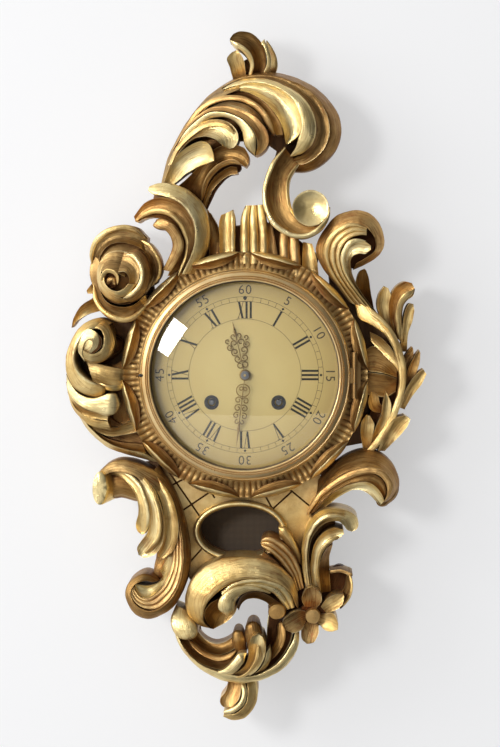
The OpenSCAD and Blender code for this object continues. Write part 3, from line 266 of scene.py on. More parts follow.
def cloth_finish():
    """A plain weave."""
    material, n = new_material("sound_cloth")
    threads = []
    for way in ("X", "Z"):
        wave = n.add("ShaderNodeTexWave", {"Vector": n.place(), "Scale": 260.0}, bands_direction=way)
        threads.append(wave.outputs["Fac"])
    weave = n.calc("MULTIPLY", *threads)
    n.surface(Base_Color=n.mix(weave, srgb(62, 53, 44), srgb(116, 102, 86)), Roughness=0.95)
    n.bump(weave, 0.4, 0.0004)
    return material


def glass_finish():
    material, n = new_material("clear_glass")
    n.surface(Base_Color=srgb(252, 254, 252), Roughness=0.0, IOR=1.5, Transmission_Weight=1.0)
    return material


DIAL = dial_finish()
WOOD = wood_finish()
CLOTH = cloth_finish()
GLASS = glass_finish()


def placed(name, data):
    thing = bpy.data.objects.new(name, data)
    bpy.context.collection.objects.link(thing)
    return thing


def build(name, parts, finish=None, body="case", stands_for=(), crease=38):
    """One object from parts of (points, faces) or (points, faces, tone, relief, flow).

    Relief and flow are given for each point, and finish overrides the tones.
    """
    points, faces, tones, relief, flow = [], [], [], [], []
    start = 0
    for part in parts:
        count = len(part[0])
        points.append(np.asarray(part[0], float))
        faces.extend([[i + start for i in face] for face in part[1]])
        tones.extend([part[2] if len(part) > 2 else "gold"] * len(part[1]))
        relief.append(part[3] if len(part) > 3 else np.zeros(count))
        flow.append(part[4] if len(part) > 4 else np.zeros((count, 3)))
        start += count
    points = np.concatenate(points) * MM
    points[:, 1] *= -1
    mesh = bpy.data.meshes.new(name)
    mesh.from_pydata(points.tolist(), [], faces)
    mesh.shade_smooth()
    mesh.set_sharp_from_angle(angle=math.radians(crease))
    relief_layer = mesh.attributes.new("relief", "FLOAT", "POINT")
    relief_layer.data.foreach_set("value", np.concatenate(relief))
    flow_layer = mesh.attributes.new("flow", "FLOAT_VECTOR", "POINT")
    flow_layer.data.foreach_set("vector", np.concatenate(flow).ravel())
    if finish is not None:
        mesh.materials.append(finish)
    else:
        used = sorted(set(tones))
        for tone in used:
            mesh.materials.append(TONES[tone])
        mesh.polygons.foreach_set("material_index", [used.index(tone) for tone in tones])
    thing = placed(name, mesh)
    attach(thing, body)
    if stands_for:
        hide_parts(*stands_for)
    return thing


def grid_faces(rows, columns, close_rows=False, close_columns=True):
    """Faces between rows of points, and round each row or from the last row to the first if closed."""
    faces = []
    for i in range(rows if close_rows else rows - 1):
        for j in range(columns if close_columns else columns - 1):
            row, next_row = i * columns, ((i + 1) % rows) * columns
            right = (j + 1) % columns
            faces.append([row + j, row + right, next_row + right, next_row + j])
    return faces


def flipped(faces):
    return [face[::-1] for face in faces]


def tube_ends(rows, columns):
    """The faces at the first and the last of some rows of points."""
    return [list(range(columns))[::-1], [(rows - 1) * columns + j for j in range(columns)]]


def turns(count):
    """Sine and cosine at even steps of a full turn."""
    angles = [2 * math.pi * i / count for i in range(count)]
    return [(math.sin(a), math.cos(a)) for a in angles]


def turned(profile, around=192):
    """A ring turned about the dial axis from a closed profile of (radius, depth)."""
    rows = [(r * s, d, r * c) for s, c in turns(around) for r, d in profile]
    return rows, flipped(grid_faces(around, len(profile), close_rows=True))


# Profiles across a lobe, from its right side to its left side: (across, height) as shares of its half width
def half_round(half, rise, count):
    angles = [v * math.pi / 2 for v in np.linspace(-1, 1, count)]
    return [(half * math.sin(a), -rise * (1 - math.cos(a))) for a in angles]


def crown(half, rise, count):
    t = np.linspace(0, 1, count)
    return list(zip(-half + 2 * half * t, 4 * rise * t * (1 - t)))


PROFILES = {
    "round": half_round(1, 0.92, 21),
    "flat": [(-1.0, -0.5), (-0.97, -0.1), *crown(0.9, 0.05, 7), (0.97, -0.1), (1.0, -0.5)],
    "band": [(-1.0, -0.6), *half_round(0.97, 0.34, 13), (1.0, -0.6)],
}

STATION_STEP = 1.6
CURVE_STEPS = 24
LEAST_STATIONS = 6


def along_curve(points, count=None):
    """A Catmull-Rom curve through the points, at even steps."""
    p = np.asarray(points, float)
    padded = np.vstack([2 * p[0] - p[1], p, 2 * p[-1] - p[-2]])
    t = np.linspace(0, 1, CURVE_STEPS, endpoint=False)[:, None]
    fine = []
    for i in range(len(p) - 1):
        a, b, c, d = padded[i : i + 4]
        curve = 2 * b + (c - a) * t + (2 * a - 5 * b + 4 * c - d) * t**2 + (3 * b - a - 3 * c + d) * t**3
        fine.append(0.5 * curve)
    fine = np.vstack(fine + [p[-1:]])
    run = np.concatenate([[0], np.cumsum(np.hypot(*np.diff(fine[:, :2], axis=0).T))])
    even = np.linspace(0, run[-1], count or max(LEAST_STATIONS, int(run[-1] / STATION_STEP)))
    return np.column_stack([np.interp(even, run, fine[:, k]) for k in range(p.shape[1])])


TIP_STEPS = 9
TIP_HALF_WIDTH = 0.15
TIP_FALL = 0.55


def rounded_end(line):
    """Adds a round end as long as the last half width."""
    last, before = line[-1], line[-3]
    way = last[:2] - before[:2]
    way = way / np.hypot(*way)
    s = np.sin(np.linspace(0, math.pi / 2, TIP_STEPS)[1:])
    fall = np.sqrt(np.maximum(0, 1 - s**2))
    extra = np.column_stack([
        last[0] + way[0] * s * last[2],
        last[1] + way[1] * s * last[2],
        np.maximum(last[2] * fall, TIP_HALF_WIDTH),
        last[3] - last[2] * TIP_FALL * (1 - fall),
    ])
    return np.vstack([line, extra])


# How a lobe's foot narrows, how much its ridge wavers and how far its relief looks to each side
BACK_SHARE = 0.84
TOOL_MARK, TOOL_WAVE = 0.2, (0.13, 0.17)
RELIEF_REACH = 0.14
RELIEF_RISE = 0.3
RELIEF_GAIN = 8


def lobe(profile, spine, tone):
    """One carved lobe along a spine, with a rounded far end."""
    across, height = np.array(PROFILES[profile]).T
    line = rounded_end(along_curve(spine))
    way = np.gradient(line[:, :2], axis=0)
    way /= np.maximum(np.hypot(way[:, 0], way[:, 1]), 1e-9)[:, None]
    left = np.column_stack([way[:, 1], way[:, 0]])
    x = line[:, 0] - SHEET[0]
    up = SHEET[1] - line[:, 1]
    half = line[:, 2]
    wide = half[:, None]
    tool_mark = TOOL_MARK * np.sin(TOOL_WAVE[0] * line[:, 0] + TOOL_WAVE[1] * line[:, 1])
    depth = line[:, 3][:, None] + wide * height[None] + tool_mark[:, None]
    rows = np.stack([
        x[:, None] + left[:, :1] * across[None] * wide,
        np.maximum(depth, CARVING_BACK + 1),
        up[:, None] + left[:, 1:] * across[None] * wide,
    ], axis=2)
    foot = []
    for share in (BACK_SHARE, -BACK_SHARE):
        back = np.full(len(x), CARVING_BACK)
        foot.append(np.column_stack([x + left[:, 0] * share * half, back, up + left[:, 1] * share * half]))
    # Relief from the curvature across the lobe: grooves get painted shade and ridges a painted highlight in
    # the gilding
    near = [np.interp(across + reach, across, height, RELIEF_RISE, RELIEF_RISE)
            for reach in (-RELIEF_REACH, RELIEF_REACH)]
    relief = np.clip(RELIEF_GAIN * ((near[0] + near[1]) / 2 - height), -1, 1)
    return closed_skin(rows, np.stack(foot, axis=1), tone, relief, wide * across)


# Scale of the streaks along and across the carving, their shift from piece to piece, and painted shade on the
# sides
FLOW_ALONG = 0.05
FLOW_ACROSS = 0.7
FLOW_SHIFT = 3.7
SIDE_SHADE = 0.4


def closed_skin(rows, foot, tone, relief, offset):
    """A solid from rows of surface points and two foot points behind each row, with relief and flow."""
    rings = np.concatenate([rows, foot], axis=1)
    count, around = rings.shape[:2]
    faces = grid_faces(count, around) + tube_ends(count, around)
    run = np.concatenate([[0], np.cumsum(np.linalg.norm(np.diff(rows.mean(axis=1), axis=0), axis=1))])
    flow = np.zeros((count, around, 3))
    flow[:, :, 0] = FLOW_ALONG * run[:, None]
    flow[:, :-2, 1] = FLOW_ACROSS * offset
    flow[:, -2, 1] = flow[:, -3, 1]
    flow[:, -1, 1] = flow[:, 0, 1]
    flow[:, :, 2] = FLOW_SHIFT * (rows[0, 0, 0] + rows[0, 0, 2])
    # Painted shade: the sides down to the board are marked as creases, so the gilding darkens them
    shade_and_dirt_marks = np.tile(np.concatenate([relief, [SIDE_SHADE, SIDE_SHADE]]), count)
    return rings.reshape(-1, 3), faces, tone, shade_and_dirt_marks, flow.reshape(-1, 3)


SECTION_STEPS = 21
REED_STEPS = 12
EDGE_FADE = 0.05


def sections():
    """Sections of a leaf from its first edge to its second: (share, height, relief)."""
    t = 0.5 - 0.5 * np.cos(np.linspace(0, math.pi, SECTION_STEPS))
    ends = np.exp(-np.minimum(t, 1 - t) / EDGE_FADE)
    # Relief marks painted shade where it is above 0 and a painted highlight where it is below
    found = {
        "hollow": (t, -4 * t * (1 - t), 0.22 * np.sin(math.pi * t) - 0.8 * ends),
        "roll": (t, 2 * np.sqrt(t * (1 - t)), 0.9 * ends - 0.3 * np.sin(math.pi * t) ** 6),
        "flat": (t, 0 * t, -0.5 * ends),
    }
    for count in (2, 3):
        u = np.linspace(0, 1, REED_STEPS * count + 1)
        wave = np.abs(np.sin(count * math.pi * u))
        found["reeds" + str(count)] = (u, wave**0.6, 0.95 - 1.3 * np.minimum(1, 2.2 * wave))
    return found


SECTIONS = sections()
TUCK_SHARE = 0.3
LIP_RISE = 0.2
LIP_TAPER = 0.14
LEAST_ROWS = 12


def leaf(cut, rise, first, second, tone, tuck=""):
    """A carved surface between two edges, with sides down to the board.

    cut is its section, and rise is that section's height as a share of the width. tuck names the edge that is
    lower and runs under its neighbour, where painted shade darkens it. Steep rolls are lips, which narrow at
    both ends.
    """
    share, height, relief = SECTIONS[cut]
    # Painted shade along the tucked edge, under its neighbour
    if tuck:
        inward = share if tuck == "first" else 1 - share
        relief = np.maximum(relief, 1.0 - inward / TUCK_SHARE)
    count = max(LEAST_ROWS, len(along_curve(first)), len(along_curve(second)))
    a, b = along_curve(first, count), along_curve(second, count)
    if cut == "roll" and rise >= LIP_RISE:
        t = np.linspace(0, 1, count)
        swell = np.clip(np.minimum(t, 1 - t) / LIP_TAPER, 0.01, 1)[:, None] ** 0.5
        middle = (a + b) / 2
        a, b = middle + (a - middle) * swell, middle + (b - middle) * swell
    way = np.gradient((a + b)[:, :2], axis=0)
    gap = (b - a)[:, :2]
    if np.sum(gap[:, 0] * way[:, 1] - gap[:, 1] * -way[:, 0]) < 0:
        a, b = b, a
        share, height, relief = 1 - share[::-1], height[::-1], relief[::-1]
    wide = np.hypot(*(b - a)[:, :2].T)
    rows = a[:, None] * (1 - share)[None, :, None] + b[:, None] * share[None, :, None]
    depth = np.maximum(rows[:, :, 2] + rise * wide[:, None] * height[None], CARVING_BACK + 1)
    rows = np.stack([rows[:, :, 0] - SHEET[0], depth, SHEET[1] - rows[:, :, 1]], axis=2)
    foot = rows[:, [-1, 0]].copy()
    foot[:, :, 1] = CARVING_BACK
    return closed_skin(rows, foot, tone, relief, wide[:, None] * (share - 0.5)[None])


LET_IN = 0.07
UNCUT_DEPTH = 3
COARSE_CUT, COARSE_SPAN = 0.45, 12.0
FINE_CUT, FINE_SPAN = 0.16, 4.0


def hand_cut(part, order):
    """The small unevenness of carving by hand. Each piece in order is let a little further into the board."""
    points = np.array(part[0], float)
    points[points[:, 1] <= CARVING_BACK, 1] -= LET_IN * order
    for i, p in enumerate(points):
        if p[1] > CARVING_BACK + UNCUT_DEPTH:
            coarse = COARSE_CUT * np.array(noise.noise_vector(p / COARSE_SPAN))
            fine = FINE_CUT * np.array(noise.noise_vector(p / FINE_SPAN))
            points[i] += coarse + fine
    return (points, *part[1:])


def boss_faces(around, wide):
    """Faces of a boss whose points run round it, each with a row from the back to the middle of the front."""
    faces = flipped(grid_faces(around, wide, close_rows=True, close_columns=False))
    faces.append([i * wide for i in range(around)])
    faces.append([i * wide + wide - 1 for i in range(around)][::-1])
    return faces


# Shares of a dish's radius: its foot, the height of its side, its lip, and its face from edge to middle
DISH_FOOT, DISH_SIDE, DISH_LIP = 0.86, 0.25, 0.98
DISH_EDGE, DISH_MIDDLE = 0.93, 0.04
DISH_STEPS, DISH_AROUND = 12, 64
# Rings of a plug's soft edge: share of its radii, depth from its front and share of its lean
PLUG_EDGE = [(1.0, -3, 0.1), (0.97, -0.8, 0.02), (0.9, 0, 0.0), (0.4, 0.4, 0.0)]
PLUG_FOOT = 0.9
PLUG_AROUND = 48


def dish(centre, radius, rim, middle, tone):
    """A round boss: hollow if middle is lower than rim, domed if it is higher."""
    side = [(radius * DISH_FOOT, CARVING_BACK), (radius, rim - radius * DISH_SIDE)]
    profile = side + [(radius * DISH_LIP, rim)]
    for s in np.linspace(1, DISH_MIDDLE, DISH_STEPS):
        profile.append((radius * DISH_EDGE * s, rim + (middle - rim) * (1 - s**2)))
    x, up = centre[0] - SHEET[0], SHEET[1] - centre[1]
    rows = [(x + r * s, d, up + r * c) for s, c in turns(DISH_AROUND) for r, d in profile]
    return rows, boss_faces(DISH_AROUND, len(profile)), tone


def plug(centre, radii, front, lean, tone, back=CARVING_BACK, around=PLUG_AROUND):
    """A cut end: a flat oval with a soft edge, whose side leans as it goes back."""
    rings = [(PLUG_FOOT, back, 1.0)] + [(share, front + d, shift) for share, d, shift in PLUG_EDGE]
    x, up = centre[0] - SHEET[0], SHEET[1] - centre[1]
    rows = []
    for s, c in turns(around):
        for share, d, shift in rings:
            across = x + radii[0] * share * s + lean[0] * shift
            rows.append((across, d, up + radii[1] * share * c - lean[1] * shift))
    return rows, boss_faces(around, len(rings)), tone


# Carving, each piece of wood from the back to the front
CARVING = {
    "crest_leaf": [
        lobe("flat", [[203, 208, 4, 53], [209, 188, 7, 55], [221, 174, 7, 58], [236, 168, 5, 64]],
            "shadow"),
        lobe("round",
            [[190, 172, 9, 62], [206, 150, 12, 66], [226, 128, 13, 70], [252, 108, 13, 72],
             [280, 100, 13, 72], [300, 112, 11, 72]], "brown"),
        leaf("roll", 0.08,
            [[160, 186, 60], [163, 172, 61], [168, 156, 62], [178, 136, 63], [190, 117, 64], [205, 99, 65],
             [222, 86, 66], [238, 78, 68]],
            [[166, 184, 68], [170, 166, 72], [178, 148, 76], [190, 130, 80], [203, 114, 83], [214, 104, 85],
             [226, 97, 86], [240, 91, 85]], "dusty"),
        leaf("roll", 0.14,
            [[222, 86, 64], [236, 78, 65], [252, 74, 65], [270, 72.5, 65], [285, 75, 65], [300, 80, 65],
             [313, 87, 66], [325, 97, 66], [334, 108, 67], [340, 121, 68], [341, 135, 69], [337, 148, 69],
             [329, 159, 68], [317, 168, 68], [305, 172, 68], [293, 172, 68]],
            [[222, 87.5, 72], [236, 80.5, 75], [252, 77, 77], [270, 77, 79], [286, 81, 81], [302, 88, 83],
             [315, 98, 84], [323, 109, 84], [328, 121, 84], [329, 134, 83], [325, 147, 81], [317, 157, 79],
             [306, 164, 77], [294, 166, 75]], "brown"),
        leaf("hollow", 0.22,
            [[222, 87.5, 73], [236, 80.5, 76], [252, 77, 78], [270, 77, 80], [286, 81, 82], [302, 88, 84],
             [315, 98, 85], [323, 109, 85], [328, 121, 85], [329, 134, 84], [325, 147, 82], [317, 157, 80],
             [306, 164, 78], [294, 166, 76]],
            [[222, 89, 75], [235, 83, 78], [250, 80, 81], [268, 81, 84], [285, 88, 87], [300, 97, 89],
             [309, 108, 90], [314, 118, 91], [316, 130, 91], [314, 142, 89], [309, 150, 87], [302, 156, 84],
             [294, 159, 81]], "dusty", "second"),
        leaf("roll", 0.2,
            [[222, 89, 76], [235, 83, 79], [250, 80, 82], [268, 81, 85], [285, 88, 88], [300, 97, 90],
             [311, 111, 92], [316, 127, 92], [314, 142, 90], [306, 154, 86], [294, 160, 82]],
            [[224, 92, 80], [238, 87, 84], [252, 84.5, 87], [268, 87, 90], [282, 93, 93], [293, 103, 95],
             [299, 116, 96], [301, 130, 95], [298, 141, 92], [293, 149, 88], [287, 155, 84]], "pale"),
        leaf("hollow", 0.3,
            [[224, 92, 79], [238, 87, 83], [252, 84.5, 86], [268, 87, 89], [282, 93, 92], [293, 103, 94],
             [299, 116, 95], [301, 130, 94], [297, 139, 91], [288, 145, 88]],
            [[226, 95, 81], [240, 93, 85], [254, 97, 90], [266, 105, 94], [275, 115, 96], [281, 125, 97],
             [284, 134, 96], [285, 141, 93], [286, 145, 89]], "pale"),
        leaf("hollow", 0.2,
            [[226, 95, 76], [240, 93, 78], [254, 97, 82], [266, 105, 84], [275, 115, 85], [281, 126, 84],
             [283, 136, 82]],
            [[224, 99, 82], [238, 99, 85], [251, 103, 87], [261, 111, 88], [268, 121, 88], [273, 131, 87],
             [276, 136, 84]], "brown", "first"),
        leaf("roll", 0.22,
            [[184, 128, 74], [198, 110, 79], [213, 100, 83], [228, 97, 86], [242, 98, 89], [254, 103, 91],
             [264, 111, 92], [271, 121, 92], [275, 130, 90], [276, 135, 87]],
            [[188, 128, 76], [203, 112, 81], [216, 105, 85], [230, 102, 88], [243, 104, 90], [254, 110, 91],
             [262, 119, 91], [267, 129, 90], [270, 135, 87], [274, 137, 85]], "bole"),
        leaf("flat", 0.0,
            [[188, 130, 72], [203, 113, 76], [216, 106, 80], [230, 103, 83], [243, 105, 85], [254, 111, 86],
             [262, 120, 85], [267, 131, 84]],
            [[192, 128, 80], [206, 115, 84], [220, 110, 88], [234, 112, 91], [246, 117, 93], [255, 124, 94],
             [261, 133, 93], [264, 142, 90]], "pale", "first"),
        leaf("hollow", 0.16,
            [[172, 150, 69], [182, 133, 75], [194, 120, 81], [208, 111, 86], [222, 108, 90], [236, 110, 93],
             [249, 115, 96], [259, 122, 98], [266, 131, 98], [269, 141, 96], [267, 149, 93], [261, 155, 90],
             [256, 157, 88]],
            [[173, 151, 72], [184, 134, 79], [196, 122, 85], [209, 114, 91], [223, 113, 95], [236, 117, 98],
             [246, 123, 100], [253, 131, 101], [257, 140, 100], [258, 149, 96], [256, 156, 90]], "bole",
            "first"),
        leaf("roll", 0.2,
            [[173, 152, 72], [184, 135, 79], [196, 123, 85], [209, 115, 91], [223, 114, 95], [236, 118, 98],
             [246, 124, 100], [253, 132, 101], [257, 141, 100], [258, 150, 96], [256, 156, 91]],
            [[177, 153, 72], [187, 139, 79], [199, 127, 85], [212, 120, 89], [225, 119, 93], [236, 124, 95],
             [242, 132, 96], [244, 141, 95], [245, 148, 94], [249, 154, 92], [254, 157, 90]], "pale"),
        leaf("hollow", 0.14,
            [[168, 165, 69], [176, 148, 75], [188, 134, 81], [202, 124, 87], [216, 121, 91], [229, 124, 94],
             [237, 132, 95], [239, 141, 94], [235, 148, 91], [230, 150, 89]],
            [[171, 168, 72], [181, 152, 79], [193, 141, 86], [206, 138, 92], [216, 141, 95], [222, 146, 94],
             [227, 149, 91]], "pale"),
        leaf("roll", 0.14,
            [[169, 164, 71], [177, 148, 77], [189, 135, 83], [203, 126, 89], [217, 123, 93], [229, 127, 96],
             [235, 134, 96]],
            [[171, 166, 72], [179, 151, 78], [191, 139, 85], [205, 130, 91], [217, 128, 94], [227, 131, 96],
             [234, 136, 96]], "gold"),
        leaf("hollow", 0.22,
            [[163, 186, 68], [170, 168, 78], [181, 154, 86], [193, 146, 92], [203, 143, 96], [210, 146, 98],
             [214, 154, 98], [215, 162, 96]],
            [[170, 187, 66], [178, 181, 73], [187, 174, 80], [196, 169, 86], [204, 166, 91], [210, 164, 94],
             [215, 162, 95]], "pale"),
        leaf("hollow", 0.3,
            [[178, 186, 64], [194, 172, 72], [206, 157, 78], [219, 148, 83], [233, 146, 86], [244, 149, 87],
             [249, 157, 86], [249, 164, 84]],
            [[201, 202, 62], [203, 188, 68], [209, 175, 74], [219, 166, 79], [230, 162, 83], [239, 164, 85],
             [246, 168, 84]], "brown"),
        leaf("roll", 0.2,
            [[200, 200, 64], [202, 187, 70], [208, 174, 76], [218, 165, 81], [229, 160, 85], [238, 161, 86],
             [244, 165, 85]],
            [[203, 200, 62], [206, 188, 67], [212, 177, 72], [221, 169, 77], [230, 165, 81],
             [239, 166, 84]], "bole"),
        leaf("hollow", 0.2,
            [[202, 206, 56], [206, 190, 61], [214, 178, 66], [223, 171, 71], [231, 167, 74],
             [237, 168, 75]],
            [[205, 209, 54], [210, 194, 58], [219, 182, 62], [228, 176, 67], [238, 174, 72]], "brown"),
    ],
    "crest_plume": [
        leaf("hollow", 0.14, [[233, 82, 64], [230, 69, 72], [227, 61, 76], [231, 55, 77], [236, 52, 76]],
            [[246, 82, 62], [245, 70, 70], [244, 62, 75], [241, 56, 77], [237, 52, 76]], "gold"),
        leaf("hollow", 0.3,
            [[249, 82, 66], [253, 68, 73], [251, 58, 78], [245, 51, 82], [238, 46, 83], [230, 43, 82]],
            [[262, 82, 60], [266, 64, 66], [265, 52, 71], [260, 42, 75], [251, 35, 78], [241, 33.5, 80],
             [234, 36, 81], [230, 41, 82]], "brown"),
        leaf("roll", 0.3,
            [[246, 82, 67], [250, 68, 74], [247, 59, 79], [242, 53, 82], [236, 49, 83], [230, 44, 82]],
            [[250, 82, 68], [254, 68, 76], [252, 57, 81], [246, 50, 84], [239, 45.5, 84], [231, 41.5, 83]],
            "pale"),
        leaf("roll", 0.2,
            [[258, 82, 64], [265, 70, 70], [267, 60, 74], [264, 50, 76], [261, 44, 76], [264, 40.5, 75]],
            [[263, 82, 62], [270, 70, 69], [271, 59, 73], [268, 49, 75], [265, 41, 75]], "pale"),
        leaf("hollow", 0.16, [[263, 80, 62], [269, 70, 67], [271, 60, 71], [269, 51, 73], [266, 43, 74]],
            [[274, 76, 56], [277, 66, 60], [276, 57, 64], [272, 49, 69], [267, 42, 73]], "gold"),
        lobe("round", [[236, 72, 7, 58], [254, 66, 9, 60], [268, 70, 6, 58]], "brown"),
    ],
    "crest_s_scroll": [
        leaf("hollow", 0.24,
            [[284, 148, 86], [272, 164, 89], [265, 184, 92], [264, 203, 94], [269, 219, 96], [279, 230, 97],
             [292, 237, 97], [306, 238, 97], [319, 231, 97], [328, 220, 96], [330, 208, 95]],
            [[299, 166, 80], [291, 178, 84], [289, 192, 87], [291, 206, 90], [296, 217, 92], [303, 224, 93],
             [311, 227, 94], [318, 224, 95], [324, 217, 95], [328, 208, 95]], "brown"),
        leaf("roll", 0.3,
            [[283, 148, 87], [271, 164, 90], [264, 184, 93], [263, 203, 95], [268, 220, 97], [278, 231, 98],
             [292, 238, 98], [306, 239, 98], [320, 232, 98], [329, 220, 97], [331, 208, 96]],
            [[287, 150, 88], [275, 166, 91], [268, 185, 94], [267, 202, 96], [272, 217, 98], [281, 227, 99],
             [293, 233.5, 99], [306, 234, 99], [317, 228, 99], [325.5, 218, 98], [328, 208, 97]], "pale"),
        leaf("roll", 0.24, [[299, 166, 80], [291, 178, 84], [289, 192, 88], [291, 206, 91], [296, 218, 93]],
            [[296, 164, 80], [288, 177, 85], [286, 192, 89], [288, 207, 92], [294, 219, 94]], "gold"),
        dish([310.5, 209], 18.2, 97, 91, "pale"),
    ],
    "crest_flutes": [
        leaf("hollow", 0.3, [[220, 264, 68], [219, 240, 69], [219, 224, 69], [221, 215, 67]],
            [[234, 264, 70], [233, 238, 71], [233, 222, 71], [233, 210, 69]], "gold"),
        leaf("roll", 0.3, [[231, 264, 70], [231, 238, 72], [231, 222, 72], [230, 211, 70]],
            [[235, 264, 69], [235, 238, 71], [235, 222, 71], [234, 210, 69]], "pale"),
        leaf("reeds3", 0.13, [[240, 264, 70], [240, 236, 72], [241, 218, 73], [245, 206, 71]],
            [[269, 264, 72], [268, 236, 74], [266, 218, 74], [263, 205, 71]], "gold"),
        leaf("hollow", 0.25, [[266, 264, 68], [266, 240, 69], [267, 222, 68]],
            [[279, 268, 68], [276, 246, 68], [272, 226, 66]], "bole"),
        leaf("reeds2", 0.14, [[279, 272, 68], [279, 250, 70], [279, 238, 69], [281, 229, 67]],
            [[302, 280, 70], [300, 256, 71], [299, 242, 70], [297, 232, 67]], "bole"),
        leaf("hollow", 0.25, [[303, 282, 68], [302, 258, 69], [303, 242, 67]],
            [[319, 286, 68], [317, 262, 69], [312, 244, 67]], "gold"),
        leaf("hollow", 0.2, [[234, 262, 60], [235, 242, 60], [237, 226, 58]],
            [[243, 262, 60], [243, 242, 60], [241, 226, 58]], "shadow"),
        leaf("hollow", 0.3, [[209, 264, 64], [208, 242, 64], [205, 222, 63], [203, 210, 61]],
            [[221, 264, 63], [220, 242, 63], [217, 226, 62], [210, 213, 61]], "brown"),
        lobe("round", [[203, 262, 8, 56], [206, 236, 8, 56], [203, 214, 6, 56]], "brown"),
        lobe("flat",
            [[202, 254, 10, 50], [225, 243, 14, 50], [250, 238, 14, 50], [278, 244, 14, 50],
             [306, 260, 12, 50]], "brown"),
    ],
    "left_shoulder_scroll": [
        leaf("roll", 0.16,
            [[196, 274, 70], [208, 248, 74], [210, 228, 78], [205, 208, 81], [192, 193, 83], [176, 185, 83],
             [160, 184, 82], [150, 187, 81]],
            [[182, 274, 78], [194, 248, 84], [195, 229, 88], [189, 213, 90], [178, 202, 91], [165, 197, 90],
             [154, 195, 86], [149, 191, 82]], "pale"),
        leaf("hollow", 0.3,
            [[186, 276, 76], [196, 250, 82], [196, 230, 87], [189, 213, 90], [178, 202, 91], [164, 198, 90],
             [150, 201, 88], [141, 208, 86], [135, 217, 83]],
            [[168, 276, 82], [180, 250, 89], [178, 234, 92], [171, 224, 94], [162, 219, 94], [152, 218, 91],
             [144, 220, 88], [139, 223, 84], [136, 222, 82]], "bole"),
        leaf("roll", 0.2,
            [[180, 276, 82], [189, 251, 88], [188, 234, 92], [181, 220, 95], [170, 211, 96], [157, 209, 94],
             [146, 213, 90], [138, 220, 85]],
            [[177, 276, 81], [186, 251, 87], [184, 236, 91], [178, 224, 94], [168, 216, 95], [157, 214, 93],
             [147, 217, 89], [139, 222, 84]], "gold"),
        leaf("roll", 0.18,
            [[163, 270, 82], [173, 250, 90], [172, 238, 94], [166, 231, 95], [159, 230, 94], [154, 226, 92],
             [157, 221, 91]],
            [[172, 272, 84], [184, 250, 91], [183, 237, 95], [177, 227, 97], [169, 221, 97], [161, 219, 94],
             [157, 220, 92]], "bole"),
    ],
    "rose": [
        dish([122, 272], 33, 76, 84, "dusty"),
        leaf("hollow", 0.3,
            [[92, 270, 72], [91, 254, 78], [96, 240, 83], [108, 230, 86], [124, 226, 86], [138, 229, 84],
             [148, 238, 79]],
            [[100, 266, 78], [101, 256, 82], [108, 247, 84], [118, 243, 85], [130, 244, 85], [140, 248, 83],
             [147, 254, 80]], "dusty"),
        leaf("roll", 0.3,
            [[91, 268, 74], [90, 254, 80], [95.5, 239, 85], [108, 229, 88], [124, 225, 88], [138, 228, 86],
             [148, 237, 81]],
            [[94, 267, 74], [94, 255, 80], [99, 243, 85], [110, 234, 88], [124, 230, 88], [136, 233, 86],
             [145, 240, 81]], "gold"),
        leaf("hollow", 0.25,
            [[140, 240, 76], [151, 246, 79], [159, 257, 79], [161, 270, 77], [157, 283, 75]],
            [[140, 250, 80], [147, 256, 82], [151, 268, 82], [150, 280, 80], [146, 290, 77]], "dusty"),
        leaf("roll", 0.3, [[142, 239, 78], [152, 245, 81], [160, 257, 81], [162, 271, 79], [157, 284, 77]],
            [[141, 243, 78], [150, 249, 81], [156, 259, 81], [158, 271, 79], [154, 282, 77]], "gold"),
        leaf("hollow", 0.22,
            [[93, 284, 74], [96, 302, 79], [106, 314, 82], [120, 320, 82], [134, 319, 81], [147, 307, 78]],
            [[99, 284, 80], [103, 296, 85], [111, 304, 88], [122, 307, 88], [134, 305, 87], [146, 295, 83]],
            "dusty"),
        leaf("roll", 0.3,
            [[92, 284, 76], [95, 303, 81], [106, 316, 84], [120, 322, 84], [135, 320, 83], [148, 308, 80]],
            [[95, 284, 76], [99, 300, 81], [108, 311, 84], [121, 316, 84], [133, 315, 83], [144, 304, 80]],
            "gold"),
        leaf("roll", 0.2,
            [[126, 249, 90], [140, 250, 92], [149, 260, 93], [151, 274, 93], [147, 290, 92], [138, 300, 90],
             [124, 304, 89]],
            [[128, 254, 96], [137, 256, 99], [143, 264, 101], [145, 275, 101], [142, 286, 100],
             [134, 294, 98], [124, 298, 95]], "dusty"),
        leaf("roll", 0.3,
            [[127, 253, 96], [137, 255, 99], [144, 264, 101], [146, 275, 101], [143, 287, 100],
             [134, 296, 98], [124, 300, 95]],
            [[128, 257, 96], [135, 259, 99], [140, 266, 101], [142, 275, 101], [139, 285, 100],
             [132, 292, 98], [124, 296, 95]], "pale"),
        leaf("roll", 0.2,
            [[106, 256, 88], [99, 268, 90], [99, 283, 91], [105, 295, 91], [115, 302, 90], [128, 304, 89]],
            [[109, 262, 95], [103, 271, 98], [104, 283, 99], [110, 291, 99], [119, 296, 98],
             [129, 298, 95]], "gold"),
        leaf("hollow", 0.16, [[102, 262, 92], [109, 254, 94], [119, 251, 95], [129, 252, 94]],
            [[103, 272, 101], [111, 270, 104], [119, 273, 104], [127, 277, 101]], "dusty"),
        leaf("hollow", 0.16,
            [[126, 252, 95], [134, 256, 97], [140, 265, 98], [141, 276, 98], [138, 287, 97]],
            [[120, 272, 102], [127, 272, 103], [131, 277, 103], [131, 285, 102], [127, 292, 99]], "dusty"),
        leaf("roll", 0.16,
            [[140, 284, 96], [132, 293, 97], [122, 297, 98], [111, 293, 98], [103, 284, 97],
             [102, 274, 96]],
            [[130, 284, 101], [125, 289, 102], [118, 291, 103], [111, 288, 103], [107, 282, 102],
             [106, 275, 101]], "gold"),
        leaf("roll", 0.25,
            [[105, 284, 100], [103, 276, 102], [108, 269, 104], [116, 270, 105], [121, 276, 105],
             [121, 285, 104]],
